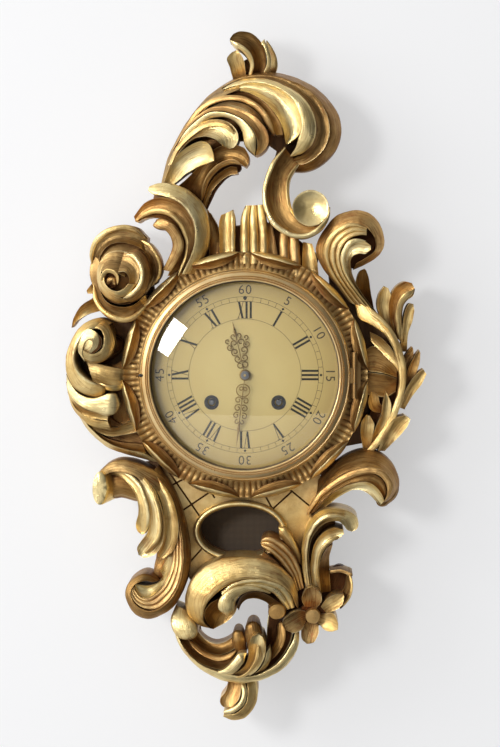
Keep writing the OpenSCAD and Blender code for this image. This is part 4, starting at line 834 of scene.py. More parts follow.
            [[108, 283, 98], [107, 277, 100], [110, 273, 102], [115, 274, 103], [118, 278, 103],
             [118, 284, 102]], "gold"),
        dish([112, 281], 7, 97, 94, "shadow"),
        lobe("round", [[109, 284, 2, 98], [111, 280, 3, 100], [115, 279, 3, 100], [116, 283, 2, 98]],
            "bole"),
    ],
    "rose_leaves": [
        leaf("hollow", 0.2, [[104, 297, 68], [90, 300, 76], [80, 307, 79], [74, 317, 78], [71, 328, 74]],
            [[108, 309, 66], [96, 312, 71], [86, 315, 74], [78, 320, 74], [72, 327, 73]], "gold"),
        leaf("hollow", 0.15, [[106, 276, 62], [96, 279, 68], [91, 284, 70], [86, 291, 69]],
            [[104, 296, 60], [97, 295, 65], [92, 294, 67], [87, 294, 68]], "pale"),
    ],
    "right_shoulder_scroll": [
        leaf("roll", 0.16,
            [[338, 288, 70], [322, 267, 75], [316, 252, 79], [318, 240, 82], [325, 228, 85], [335, 217, 87],
             [347, 212, 88], [359, 211, 88], [370, 215, 87], [378, 223, 86], [383, 235, 85], [383, 247, 83],
             [377, 257, 80], [366, 264, 77], [353, 270, 73]],
            [[345, 292, 76], [332, 272, 82], [325, 255, 88], [327, 242, 91], [333, 232, 94], [342, 226, 96],
             [352, 224, 97], [362, 226, 97], [370, 232, 96], [375, 241, 94], [374, 250, 91], [367, 257, 87],
             [356, 263, 81]], "bole"),
        leaf("reeds3", 0.09,
            [[349, 302, 72], [337, 286, 77], [327, 269, 82], [322, 254, 87], [325, 241, 91], [333, 230, 94],
             [344, 224, 96], [356, 223, 96], [366, 227, 95]],
            [[374, 314, 74], [359, 297, 80], [346, 279, 86], [340, 264, 91], [340, 252, 95], [345, 243, 98],
             [352, 238, 99], [360, 236, 99], [366, 236, 98]], "gold"),
        leaf("hollow", 0.2,
            [[374, 313, 76], [359, 297, 82], [346, 279, 88], [341, 264, 93], [342, 253, 97],
             [348, 244, 100], [356, 241, 101], [364, 242, 101], [370, 246, 100]],
            [[386, 324, 74], [372, 307, 79], [360, 291, 85], [352, 275, 90], [350, 264, 94], [352, 257, 96],
             [358, 254, 98], [364, 254, 99], [370, 250, 99]], "pale"),
        leaf("roll", 0.3,
            [[372, 311, 77], [357, 294, 83], [345, 277, 89], [340, 263, 94], [341, 252, 98],
             [347, 242, 101], [356, 239, 102], [365, 240, 101]],
            [[376, 314, 77], [361, 296, 83], [349, 278, 89], [345, 264, 94], [346, 254, 98],
             [351, 246, 101], [357, 243, 102], [365, 243, 101]], "pale"),
        leaf("hollow", 0.2, [[356, 294, 60], [356, 281, 67], [359, 272, 71], [364, 269, 71]],
            [[375, 312, 60], [371, 294, 65], [369, 280, 69], [366, 271, 71]], "brown"),
        lobe("flat", [[346, 264, 10, 70], [357, 248, 17, 72], [367, 236, 13, 72]], "shadow"),
    ],
    "right_leaf_branch": [
        lobe("flat", [[382, 346, 13, 54], [390, 368, 11, 54], [388, 394, 11, 54], [380, 420, 12, 54]],
            "shadow"),
        leaf("hollow", 0.16, [[364, 371, 66], [374, 372, 68], [386, 374, 68], [397, 378, 64]],
            [[364, 351, 70], [374, 346, 70], [386, 352, 68], [397, 368, 64]], "brown"),
        leaf("hollow", 0.16, [[364, 372, 66], [374, 373, 68], [386, 375, 68], [397, 379, 64]],
            [[364, 393, 69], [374, 396, 68], [386, 397, 66], [396, 392, 62]], "brown"),
        leaf("hollow", 0.16,
            [[370, 332, 72], [380, 337, 77], [390, 347, 79], [397, 360, 78], [400, 372, 76]],
            [[371, 341, 68], [379, 350, 71], [387, 358, 74], [395, 366, 76], [399, 374, 76]], "gold"),
        leaf("roll", 0.16,
            [[363, 302, 76], [378, 314, 80], [390, 327, 82], [399, 342, 83], [404, 358, 83], [406, 375, 82],
             [404, 392, 80], [399, 410, 78], [392, 426, 76], [382, 442, 74], [370, 456, 70]],
            [[355, 305, 72], [359, 318, 75], [372, 325, 80], [384, 334, 83], [392, 347, 83], [397, 362, 82],
             [399, 378, 81], [397, 394, 79], [391, 411, 77], [384, 426, 75], [374, 441, 73],
             [364, 454, 70]], "gold"),
        leaf("hollow", 0.25,
            [[355, 305, 74], [359, 318, 77], [372, 325, 82], [384, 334, 85], [392, 347, 85],
             [397, 362, 83]],
            [[361, 303, 76], [370, 313, 81], [381, 322, 85], [390, 333, 87], [396, 346, 87],
             [399, 361, 84]], "gold"),
        leaf("hollow", 0.16, [[386, 330, 70], [377, 309, 77], [378, 295, 81], [384, 286, 81]],
            [[396, 334, 68], [391, 312, 74], [391, 298, 79], [388, 288, 81]], "gold"),
        leaf("hollow", 0.2,
            [[393, 337, 68], [389, 315, 76], [389, 300, 82], [394, 288, 85], [403, 281.5, 86],
             [411, 283, 84]],
            [[404, 342, 66], [402, 318, 73], [403, 306, 79], [407, 300, 82], [412, 296, 83],
             [414, 289, 83]], "bole"),
        leaf("roll", 0.25,
            [[397, 340, 70], [395, 317, 77], [397, 303, 83], [401, 295, 86], [408, 290, 86],
             [413, 288, 84]],
            [[403, 342, 68], [401, 318, 75], [402, 306, 81], [406, 299, 84], [411, 295, 84],
             [414, 289, 84]], "gold"),
        leaf("hollow", 0.16,
            [[400, 352, 64], [402, 330, 71], [404, 313, 76], [408, 304, 78], [413, 304, 77]],
            [[407, 352, 62], [408, 335, 67], [412, 322, 72], [414, 311, 76]], "gold"),
        leaf("hollow", 0.16, [[401, 374, 64], [403, 360, 70], [408, 351, 74], [412, 347, 74]],
            [[407, 378, 62], [409, 366, 67], [413, 356, 71], [413, 349, 73]], "bole"),
        leaf("hollow", 0.16, [[401, 394, 64], [407, 373, 71], [413, 358, 75], [419, 350, 76]],
            [[407, 394, 62], [414, 379, 68], [419, 365, 72], [420, 353, 75]], "bole"),
        leaf("hollow", 0.2, [[400, 408, 65], [406, 389, 73], [415, 375, 78], [423, 369, 78]],
            [[405, 410, 62], [412, 397, 69], [421, 385, 74], [426, 374, 77]], "gold"),
        leaf("hollow", 0.2, [[378, 452, 64], [385, 431, 74], [393, 419, 79], [404, 415, 79]],
            [[385, 452, 62], [395, 441, 70], [406, 428, 76], [410, 419, 78]], "gold"),
        leaf("hollow", 0.18, [[364, 454, 64], [361, 436, 71], [361, 423, 75], [366, 415, 76]],
            [[375, 450, 62], [373, 436, 69], [374, 424, 73], [370, 416, 75]], "gold"),
        leaf("hollow", 0.22,
            [[370, 450, 66], [374, 431, 76], [381, 414, 81], [383, 401, 82], [386, 391, 80]],
            [[378, 450, 64], [384, 432, 73], [390, 415, 78], [391, 403, 80], [387, 393, 80]], "gold"),
        leaf("hollow", 0.2, [[382, 414, 60], [372, 411, 66], [368, 402, 70], [371, 392, 71]],
            [[386, 409, 58], [380, 404, 65], [378, 396, 69], [374, 392, 71]], "bole"),
    ],
    "left_c_scroll": [
        lobe("round", [[86, 352, 12, 66], [98, 350, 16, 66], [110, 346, 12, 66]], "shadow"),
        lobe("flat", [[112, 366, 16, 60], [124, 392, 16, 60], [130, 424, 18, 60], [150, 440, 16, 60]],
            "brown"),
        lobe("flat", [[82, 396, 9, 60], [94, 420, 12, 62], [116, 437, 13, 64], [146, 448, 11, 64]],
            "brown"),
        leaf("roll", 0.16,
            [[112, 322, 82], [102, 318, 86], [91, 320, 88], [80, 328, 89], [72, 341, 89], [67, 356, 88],
             [67, 370, 87], [71, 382, 87], [79, 391, 87], [90, 396, 87], [101, 397, 86], [105, 393, 86]],
            [[104, 331, 88], [97, 328, 92], [89, 330, 94], [81, 338, 95], [77, 349, 95], [76, 360, 94],
             [79, 370, 93], [86, 378, 92], [95, 383, 91], [103, 385, 89], [106, 389, 87]], "gold"),
        leaf("roll", 0.3,
            [[104, 329, 88], [97, 326, 92], [89, 328, 94], [80, 336, 95], [75, 348, 95], [74, 361, 94],
             [78, 372, 93], [85, 380, 92], [95, 385, 91], [104, 387, 88]],
            [[104, 332, 88], [97, 329, 92], [90, 331, 94], [83, 339, 95], [78, 349, 95], [77, 360, 94],
             [80, 369, 93], [87, 377, 92], [96, 382, 91], [104, 384, 88]], "pale"),
        leaf("roll", 0.16,
            [[94, 320, 86], [105, 321, 87], [112, 329, 87], [115, 342, 87], [112, 354, 88], [104, 361, 89],
             [94, 363, 91], [85, 360, 92]],
            [[92, 328, 92], [101, 329, 93], [105, 336, 93], [105, 344, 94], [102, 350, 95], [96, 353, 96],
             [90, 352, 97], [85, 349, 98]], "gold"),
        leaf("flat", 0.0,
            [[80, 352, 94], [79, 342, 95], [83, 333, 96], [91, 329, 97], [98, 332, 98], [101, 339, 98],
             [99, 347, 98], [93, 352, 98]],
            [[86, 361, 94], [84, 352, 96], [86, 343, 98], [90, 339, 99], [94, 339, 100], [95, 342, 100],
             [94, 346, 100], [91, 351, 99]], "pale"),
        lobe("flat", [[84, 350, 7, 93], [90, 346, 8, 95], [94, 342, 6, 96]], "pale"),
        leaf("flat", 0.0, [[97, 332, 97], [103, 338, 98], [103, 346, 98], [97, 352, 98], [91, 353, 97]],
            [[99, 336, 97], [100, 340, 98], [99, 346, 98], [95, 350, 98], [91, 352, 97]], "shadow"),
        leaf("hollow", 0.14, [[86, 361, 74], [98, 364, 76], [110, 367, 76], [120, 369, 74], [128, 371, 70]],
            [[94, 384, 84], [103, 387, 85], [111, 389, 84], [118, 389, 81], [126, 387, 74]], "gold",
            "first"),
        leaf("roll", 0.25, [[98, 381, 84], [106, 384, 86], [113, 385, 85], [120, 384, 81], [127, 382, 74]],
            [[97, 386, 83], [105, 390, 84], [113, 391, 83], [120, 390, 79], [127, 387, 73]], "pale"),
        leaf("roll", 0.1,
            [[66, 374, 78], [68, 389, 83], [75, 401, 87], [86, 408, 90], [97, 412, 91], [108, 415, 92],
             [116, 413, 91], [120, 406, 89]],
            [[69, 380, 84], [78, 392, 88], [88, 397, 90], [99, 397, 93], [109, 393, 94], [116, 394, 93],
             [120, 402, 90]], "pale"),
        leaf("flat", 0.0, [[106, 396, 94], [106, 404, 95], [107, 413, 93]],
            [[108, 395, 94], [108, 404, 95], [109, 413, 93]], "brown"),
        leaf("hollow", 0.16, [[66, 382, 76], [69, 398, 80], [77, 410, 83], [90, 417, 86], [108, 420, 87]],
            [[67, 384, 80], [74, 400, 86], [85, 408, 89], [97, 412, 90], [109, 413, 90]], "gold", "second"),
        leaf("roll", 0.12, [[67, 392, 76], [72, 407, 80], [82, 419, 83], [95, 427, 86], [112, 430, 84]],
            [[68, 395, 79], [77, 409, 86], [90, 417, 89], [108, 421, 88]], "gold"),
        leaf("hollow", 0.16,
            [[76, 410, 76], [84, 421, 78], [96, 431, 80], [110, 436, 80], [124, 435, 78], [138, 432, 76]],
            [[80, 412, 83], [92, 420, 86], [104, 426, 87], [116, 427, 86], [130, 421, 80]], "gold"),
        leaf("hollow", 0.25, [[77, 410, 76], [88, 425, 78], [102, 436, 79], [120, 442, 78], [142, 444, 76]],
            [[84, 418, 82], [96, 433, 85], [110, 443, 86], [126, 449, 85], [146, 453, 80]], "brown",
            "first"),
        leaf("roll", 0.22,
            [[69, 396, 72], [77, 414, 74], [89, 432, 76], [106, 447, 78], [124, 454, 79], [142, 459, 78],
             [156, 465, 74]],
            [[74, 402, 80], [83, 418, 83], [96, 433, 86], [110, 443, 87], [126, 449, 86], [144, 453, 82],
             [157, 459, 76]], "pale"),
    ],
    "left_lower_acanthus": [
        plug((100, 488), (7.6, 17), 88, (14, -2), "pale"),
        lobe("round", [[110, 486, 15, 72], [122, 484, 16, 74], [138, 488, 16, 72]], "brown"),
        lobe("flat", [[166, 536, 14, 64], [170, 556, 15, 64], [166, 574, 14, 64]], "bole"),
        leaf("roll", 0.14,
            [[97, 474, 80], [106, 465, 84], [118, 460, 86], [132, 461, 86], [146, 466, 84], [160, 474, 80],
             [170, 484, 76]],
            [[104, 476, 84], [112, 472, 89], [122, 472, 92], [133, 474, 94], [144, 480, 94], [154, 488, 92],
             [164, 500, 88]], "dusty"),
        leaf("hollow", 0.25,
            [[108, 474, 80], [122, 477, 86], [132, 487, 90], [138, 500, 92], [139, 512, 92], [136, 524, 90],
             [138, 531, 88], [142, 534, 87]],
            [[116, 467, 85], [131, 474, 92], [142, 484, 96], [148, 496, 98], [151, 510, 98], [151, 522, 96],
             [148, 531, 91], [143, 534, 88]], "gold"),
        leaf("roll", 0.3,
            [[114, 469, 85], [128, 475, 92], [138, 485, 96], [144, 497, 98], [147, 510, 98], [147, 522, 96],
             [144, 532, 90]],
            [[117, 467, 85], [131, 473, 92], [142, 483, 96], [148, 496, 98], [151, 510, 98], [151, 522, 96],
             [147, 533, 90]], "pale"),
        leaf("hollow", 0.2,
            [[124, 467, 84], [136, 478, 90], [145, 490, 94], [150, 505, 96], [151, 520, 97], [148, 532, 96],
             [142, 540, 94], [138, 547, 92], [139, 554, 91]],
            [[134, 466, 87], [147, 478, 94], [157, 491, 98], [163, 507, 100], [166, 524, 100],
             [164, 540, 99], [158, 551, 96], [150, 556, 93], [144, 557, 91]], "pale"),
        leaf("roll", 0.3,
            [[129, 466, 87], [142, 478, 93], [151, 490, 97], [157, 506, 100], [159, 522, 101],
             [157, 535, 100], [150, 544, 97], [144, 551, 93]],
            [[132, 466, 87], [146, 478, 93], [155, 491, 97], [161, 507, 100], [163, 523, 101],
             [161, 537, 100], [154, 547, 97], [147, 554, 93]], "gold"),
        leaf("hollow", 0.25,
            [[144, 472, 84], [155, 485, 90], [162, 500, 93], [165, 517, 95], [165, 534, 94], [161, 548, 92],
             [158, 556, 90]],
            [[152, 471, 83], [166, 487, 90], [175, 504, 93], [179, 522, 94], [178, 538, 93], [173, 551, 90],
             [164, 558, 88]], "gold"),
        leaf("roll", 0.18,
            [[158, 466, 72], [171, 485, 77], [181, 507, 81], [187, 530, 84], [190, 552, 86], [189, 572, 88],
             [184, 590, 89], [175, 605, 90], [163, 614, 91], [150, 618, 92], [138, 615, 92], [130, 606, 92],
             [126, 594, 92], [128, 584, 91], [135, 577, 90], [144, 573, 89], [152, 575, 87],
             [158, 581, 85]],
            [[154, 470, 78], [166, 488, 84], [176, 509, 88], [181, 531, 91], [183, 552, 93], [182, 571, 95],
             [177, 587, 96], [169, 599, 97], [160, 606, 98], [150, 609, 98], [141, 606, 98], [135, 600, 97],
             [132, 592, 96], [134, 586, 95], [139, 582, 94], [146, 580, 92], [153, 582, 88]], "brown"),
        leaf("reeds3", 0.09,
            [[166, 488, 82], [176, 509, 87], [181, 531, 90], [183, 552, 92], [182, 571, 94], [177, 587, 95],
             [169, 599, 96], [160, 606, 97], [150, 608, 97], [141, 605, 97], [134, 598, 96], [132, 591, 95],
             [134, 586, 94]],
            [[168, 520, 82], [172, 537, 85], [173, 553, 87], [171, 567, 88], [166, 579, 90], [159, 589, 92],
             [151, 595, 94], [142, 595, 94], [137, 590, 93], [136, 588, 93], [136, 586, 93]], "bole"),
        leaf("hollow", 0.3,
            [[174, 546, 87], [173, 566, 90], [167, 580, 92], [158, 591, 95], [150, 596, 96], [142, 595, 96],
             [137, 589, 95], [136, 583, 94]],
            [[160, 572, 80], [163, 576, 83], [160, 581, 86], [154, 584, 89], [147, 585, 91], [141, 584, 93],
             [137, 583, 94]], "pale"),
    ],
    "right_lower_scroll": [
        lobe("flat", [[322, 480, 10, 60], [345, 472, 13, 60], [366, 470, 13, 60]], "shadow"),
        lobe("round", [[390, 478, 8, 82], [390, 491, 8.5, 82], [383, 500, 7, 80]], "brown"),
        leaf("roll", 0.12,
            [[318, 482, 64], [336, 463, 69], [352, 453, 72], [368, 450, 74], [383, 455, 75], [394, 466, 76],
             [399, 479, 76], [398, 491, 75], [391, 501, 74], [380, 505, 74]],
            [[316, 500, 80], [328, 484, 85], [342, 473, 90], [358, 467, 93], [373, 466, 94], [385, 471, 94],
             [391, 481, 93], [391, 491, 90], [386, 499, 87], [380, 503, 84]], "brown"),
        leaf("roll", 0.25,
            [[304, 517, 82], [313, 500, 86], [325, 486, 90], [340, 474.5, 94], [357, 467, 97],
             [373, 465.5, 98], [386, 471, 98], [392, 481, 97], [391, 492, 94], [385, 501, 90]],
            [[310, 514, 84], [319, 499, 88], [331, 488, 92], [346, 479, 95], [361, 473, 97], [374, 472, 98],
             [382, 477, 98], [386, 485, 96], [385, 494, 93], [382, 500, 90]], "bole"),
        leaf("hollow", 0.3,
            [[310, 513, 82], [319, 498, 86], [331, 487, 90], [346, 478, 93], [361, 473, 95], [374, 473, 95],
             [383, 480, 94], [386, 490, 92]],
            [[314, 512, 82], [324, 500, 86], [336, 490, 90], [350, 483, 93], [363, 480, 95], [373, 483, 95],
             [380, 490, 94], [384, 498, 91]], "brown", "first"),
        leaf("hollow", 0.2,
            [[314, 512, 84], [324, 500, 88], [336, 490, 92], [350, 483, 95], [363, 480, 97], [373, 483, 98],
             [380, 490, 97], [384, 499, 93]],
            [[318, 515, 78], [330, 503, 82], [342, 494, 86], [353, 489, 89], [362, 489, 91], [369, 493, 92],
             [375, 499, 92], [380, 504, 91]], "pale"),
    ],
    "right_lower_acanthus": [
        lobe("flat", [[312, 562, 13, 60], [317, 540, 13, 60], [325, 526, 11, 60]], "brown"),
        leaf("hollow", 0.2,
            [[307, 594, 76], [303, 570, 84], [302, 550, 89], [304, 533, 94], [310, 519, 98],
             [320, 509, 101], [333, 506, 102], [346, 508, 101], [355, 513, 98], [358, 520, 95],
             [357, 527, 92], [352, 530, 90]],
            [[313, 594, 80], [310, 570, 87], [309, 552, 92], [312, 537, 97], [319, 526, 100],
             [328, 520, 101], [338, 519, 100], [343, 523, 97], [347, 528, 94], [351, 530, 90]], "pale"),
        leaf("roll", 0.3,
            [[309, 594, 78], [305.5, 570, 86], [304.5, 550, 91], [307, 535, 96], [313, 522, 100],
             [323, 513, 102], [334, 511, 103], [345, 513, 101]],
            [[311.5, 594, 79], [308, 570, 87], [307.5, 552, 92], [310, 537, 97], [316, 525, 101],
             [325, 517, 103], [335, 515, 103], [345, 516, 101]], "pale"),
        leaf("hollow", 0.25,
            [[314, 594, 78], [311, 570, 84], [312, 553, 89], [316, 540, 93], [324, 530, 96], [334, 526, 96],
             [343, 528, 93]],
            [[321, 594, 77], [318, 572, 83], [319, 557, 88], [324, 546, 92], [331, 540, 93], [338, 538, 92],
             [344, 532, 92]], "pale"),
        leaf("roll", 0.3,
            [[319, 594, 78], [316.5, 572, 84], [317, 557, 89], [322, 545, 93], [330, 537, 95],
             [338, 533, 94]],
            [[322, 594, 77], [319.5, 572, 83], [320.5, 558, 88], [325, 548, 92], [332, 541, 94],
             [339, 537, 93]], "gold"),
        leaf("hollow", 0.1, [[321, 594, 74], [319, 574, 79], [321, 559, 83], [327, 547, 85]],
            [[331, 594, 64], [330, 574, 67], [330, 558, 70], [333, 545, 75]], "brown"),
        leaf("reeds3", 0.1,
            [[304, 588, 80], [300, 567, 87], [292, 551, 92], [282, 541, 95], [271, 535, 96], [263, 537, 94],
             [261, 541, 92]],
            [[297, 592, 78], [290, 575, 84], [282, 563, 88], [274, 554, 91], [267, 549, 92],
             [262, 545, 92]], "bole"),
        leaf("roll", 0.25, [[303, 562, 76], [298, 547, 81], [291, 534, 84], [285, 527, 86], [279, 526, 85]],
            [[300, 568, 74], [292, 553, 79], [284, 541, 82], [279, 534, 84], [278, 529, 85]], "gold"),
        leaf("hollow", 0.2, [[301, 590, 74], [288, 574, 80], [276, 561, 83], [264, 552, 82]],
            [[296, 596, 68], [284, 583, 73], [272, 570, 77], [260, 560, 78]], "bole"),
    ],
    "base_c_scroll": [
        lobe("round", [[289, 606, 9, 70], [277, 609, 9, 72]], "brown"),
        leaf("roll", 0.2,
            [[302, 608, 78], [298, 590, 85], [291, 576, 90], [280, 565, 94], [266, 558, 96], [250, 555, 97],
             [232, 555, 97], [216, 559, 96], [203, 566, 95], [193, 577, 94], [187, 590, 93], [186, 604, 91],
             [190, 617, 88], [199, 626, 85], [211, 630, 82]],
            [[294, 608, 86], [291, 594, 92], [283, 584, 97], [270, 578, 101], [255, 576, 103],
             [240, 578, 104], [228, 583, 105], [218, 590, 105], [211, 597, 104], [206, 606, 102],
             [205, 615, 99], [207, 622, 95], [212, 628, 90]], "gold"),
        leaf("hollow", 0.3,
            [[222, 596, 98], [213, 600, 101], [206, 608, 100], [206, 617, 96], [212, 628, 90]],
            [[238, 604, 82], [236, 612, 80], [231, 619, 79], [223, 625, 79], [213, 630, 82]], "brown"),
        leaf("reeds2", 0.13,
            [[295, 607, 85], [291, 594, 91], [283, 584, 96], [270, 578, 100], [255, 576, 102],
             [240, 578, 103], [230, 582, 103], [222, 589, 102]],
            [[286, 610, 83], [280, 599, 89], [271, 590, 94], [257, 586, 98], [244, 587, 101],
             [236, 591, 102], [230, 597, 102], [226, 603, 101]], "pale"),
        leaf("roll", 0.25,
            [[268, 587, 96], [254, 583, 101], [240, 583, 104], [229, 587, 106], [221, 595, 107],
             [219, 603, 106], [222, 610, 104], [228, 615, 101]],
            [[274, 594, 93], [260, 589, 98], [247, 590, 101], [239, 595, 103], [236, 602, 104],
             [235, 609, 103], [231, 614, 101]], "pale"),
        leaf("hollow", 0.2,
            [[288, 610, 80], [276, 600, 85], [263, 592, 89], [250, 591, 91], [241, 596, 91],
             [237, 606, 88]],
            [[272, 614, 70], [268, 605, 73], [258, 600, 76], [248, 600, 78], [242, 604, 80],
             [239, 611, 82]], "brown"),
        plug((277, 611), (9, 8), 90, (4, -3), "brown"),
    ],
    "base_crescent": [
        leaf("hollow", 0.16,
            [[294, 627, 84], [291, 641, 87], [284, 654, 87], [274, 665, 86], [262, 673, 85],
             [250, 679, 82]],
            [[268, 618, 62], [267, 632, 64], [266, 646, 64], [263, 658, 64], [257, 668, 64],
             [248, 675, 64]], "shadow"),
        leaf("roll", 0.2, [[286, 624, 78], [286, 640, 80], [280, 653, 79], [271, 664, 77]],
            [[277, 622, 74], [277, 637, 76], [272, 650, 75], [264, 662, 73]], "brown"),
        leaf("roll", 0.14, [[176, 606, 80], [171, 618, 85], [173, 630, 88], [180, 638, 89], [189, 640, 88]],
            [[190, 612, 80], [195, 621, 86], [198, 630, 88], [196, 637, 88], [190, 640, 88]], "pale"),
        leaf("hollow", 0.35,
            [[179, 637, 84], [186, 649, 87], [196, 659, 89], [208, 666, 90], [221, 669, 90],
             [233, 666, 88]],
            [[186, 639, 76], [195, 648, 78], [206, 655, 80], [217, 658, 82], [228, 656, 84],
             [236, 651, 84]], "brown", "second"),
        leaf("roll", 0.25,
            [[186, 641, 78], [196, 651, 82], [207, 658, 85], [218, 661, 87], [229, 659, 87],
             [237, 653, 86]],
            [[190, 641, 76], [200, 649, 79], [209, 654, 82], [219, 656, 84], [228, 654, 85],
             [235, 649, 85]], "bole"),
        leaf("hollow", 0.25,
            [[190, 641, 74], [200, 649, 78], [209, 654, 80], [219, 656, 82], [228, 653, 83],
             [236, 648, 83]],
            [[197, 634, 68], [205, 642, 70], [215, 646, 72], [226, 643, 75], [234, 637, 78],
             [239, 633, 80]], "brown"),
        leaf("roll", 0.22,
            [[171, 620, 80], [174, 634, 83], [180, 646, 86], [189, 658, 88], [200, 668, 89], [213, 676, 90],
             [227, 681, 90], [242, 683, 89], [257, 681, 88], [271, 676, 88], [284, 668, 88], [294, 656, 88],
             [300, 643, 88], [302, 628, 85]],
            [[178, 634, 87], [184, 646, 91], [192, 656, 93], [203, 664, 95], [215, 669, 96], [228, 672, 96],
             [243, 675, 95], [256, 674, 93], [268, 669, 92], [279, 661, 92], [287, 651, 92], [292, 640, 91],
             [294, 626, 87]], "pale"),
        lobe("round", [[240, 654, 6, 82], [239, 641, 7, 87], [238, 636, 6, 87]], "brown"),
        lobe("round", [[256, 652, 8, 84], [254, 636, 9, 90], [253, 629, 8, 90]], "brown"),
        leaf("roll", 0.25,
            [[196, 667, 88], [211, 671, 93], [225, 667, 98], [234, 658, 101], [240, 650, 101],
             [246, 649, 99]],
            [[206, 671, 88], [220, 674, 93], [234, 672, 98], [243, 662, 101], [248, 653, 100]], "pale"),
        leaf("hollow", 0.2,
            [[216, 675, 90], [232, 673, 96], [244, 665, 101], [249, 653, 104], [249, 643, 105],
             [253, 634, 104], [259, 631, 102]],
            [[231, 679, 86], [247, 676, 92], [258, 668, 97], [265, 655, 101], [266, 643, 103],
             [264, 635, 103]], "pale"),
        leaf("roll", 0.3,
            [[222, 676, 90], [238, 675, 96], [250, 667, 101], [256, 654, 104], [257, 643, 105]],
            [[227, 678, 89], [243, 676, 95], [254, 668, 100], [261, 655, 103], [261, 643, 105]], "gold"),
        leaf("roll", 0.22, [[241, 679, 84], [256, 672, 90], [264, 662, 94], [267, 650, 96], [269, 645, 94]],
            [[248, 678, 82], [264, 670, 87], [271, 659, 91], [272, 648, 93]], "pale"),
    ],
    "base_flower": [
        dish([313, 614], 13, 86, 84, "shadow"),
        lobe("flat", [[298, 600, 10, 60], [313, 603, 15, 60], [328, 604, 10, 60]], "shadow"),
        leaf("hollow", 0.14, [[305, 606, 88], [302, 597, 94], [306, 587, 98], [312, 585, 98]],
            [[317, 607, 88], [322, 599, 94], [320, 590, 97], [313, 585, 98]], "dusty"),
        leaf("hollow", 0.14, [[321, 606, 88], [327, 597, 94], [336, 592, 97], [343, 592, 96]],
            [[327, 612, 88], [335, 609, 93], [342, 603, 96], [344, 594, 96]], "gold"),
        leaf("hollow", 0.14, [[321, 613, 88], [328, 612, 93], [334, 612, 95], [338, 622, 95]],
            [[318, 622, 88], [324, 628, 92], [331, 630, 94], [338, 628, 94]], "gold"),
        leaf("hollow", 0.14, [[318, 622, 86], [319, 631, 91], [315, 640, 94], [309, 642, 94]],
            [[307, 622, 86], [302, 629, 91], [302, 637, 93], [307, 642, 94]], "dusty"),
        leaf("hollow", 0.14, [[306, 621, 88], [302, 628, 93], [294, 631, 96], [286, 628, 96]],
            [[306, 611, 88], [299, 609, 94], [290, 612, 97], [283, 620, 97], [285, 627, 96]], "dusty"),
        plug((313, 614), (7.5, 7.5), 101, (0, 0), "dusty"),
    ],
    "base_leaf_cup": [
        leaf("flat", 0.0, [[350, 571, 84], [353, 584, 88], [350, 598, 86], [341, 609, 80]],
            [[347, 577, 78], [345, 587, 76], [341, 594, 72], [333, 602, 70]], "dusty"),
        leaf("roll", 0.3, [[350, 572, 86], [353, 584, 90], [350, 598, 88], [341, 608, 82]],
            [[348, 576, 85], [350, 585, 88], [347, 596, 86], [338, 605, 81]], "gold"),
        lobe("band", [[330, 572, 1.6, 80], [341, 570.5, 1.6, 84], [351, 574, 1.8, 87]], "dusty"),
        lobe("flat", [[330, 600, 8, 58], [335, 588, 11, 58], [339, 578, 10, 58]], "shadow"),
    ],
    "base_drop": [
        lobe("round", [[242, 676, 8, 66], [244, 694, 7, 70], [238, 706, 6, 70]], "brown"),
        leaf("hollow", 0.2,
            [[229, 678, 70], [226, 692, 76], [220, 701, 79], [222, 708, 79], [228, 710, 78]],
            [[241, 678, 72], [241, 690, 78], [239, 700, 81], [233, 708, 80]], "bole"),
        leaf("roll", 0.3, [[240, 680, 76], [242, 694, 82], [239, 703, 85], [231, 709, 85], [223, 711, 83]],
            [[245, 680, 76], [247, 694, 82], [244, 705, 84], [235, 713, 85], [224, 716, 83]], "pale"),
        leaf("roll", 0.16, [[246, 679, 74], [248, 694, 80], [245, 706, 83], [236, 714, 84], [224, 716, 82]],
            [[256, 679, 68], [258, 694, 73], [255, 708, 76], [246, 719, 78], [234, 722, 79],
             [223, 718, 81]], "gold"),
    ],
}

for name, parts in CARVING.items():
    build(name + "_carved", [hand_cut(part, i) for i, part in enumerate(parts)], stands_for=(name,))


# Round parts
GADROONS = 120
GADROON_STEPS = 8
REED_RISE = 1.65
# How the reeds rise at the inner edge and fall at the outer one, as shares of the hollow's width
REED_START, REED_STOP, REED_FALL = 0.12, 1.04, 0.1
COVE_INNER = BEZEL_RADIUS + 1
COVE_WIDE = COVE_RADIUS - BEZEL_RADIUS + 6
COVE_LIP = BEZEL_SEAT - 1
COVE_SAG = 4.5
COVE_COLUMNS = 13
SEAT_RADIUS = BEZEL_RADIUS + 1.2
SEAT_INNER, SEAT_LEDGE = 92.4, 97.9
SEAT_FLOOR, SEAT_STEP = 70, 72
SEAT_PROFILE = [
    (SEAT_INNER, CARVING_BACK), (COVE_RADIUS, CARVING_BACK), (COVE_RADIUS, SEAT_FLOOR),
    (SEAT_RADIUS, SEAT_FLOOR), (SEAT_RADIUS, BEZEL_SEAT), (SEAT_LEDGE, BEZEL_SEAT), (SEAT_LEDGE, SEAT_STEP),
    (SEAT_INNER, SEAT_STEP),
]


def cove():
    """The gadrooned hollow between the bezel and the petals, and the ring that seats the bezel."""
    around = GADROONS * GADROON_STEPS
    radial = np.linspace(0, 1, COVE_COLUMNS)
    rows = []
    for i, (s, c) in enumerate(turns(around)):
        swell = abs(math.sin(math.pi * (i % GADROON_STEPS) / GADROON_STEPS)) ** 0.6
        for t in radial:
            r = COVE_INNER + t * COVE_WIDE
            hollow = COVE_LIP - COVE_SAG * math.sin(math.pi * min(t * 1.02, 1)) ** 0.8
            reed = REED_RISE * swell * min(1, t / REED_START) * min(1, (REED_STOP - t) / REED_FALL)
            rows.append((r * s, hollow + reed, r * c))
    faces = flipped(grid_faces(around, len(radial), close_rows=True, close_columns=False))
    return [(rows, faces), turned(SEAT_PROFILE)]


build("dial_surround_carved", cove(), TONES["reeded"], stands_for=("dial_surround",))

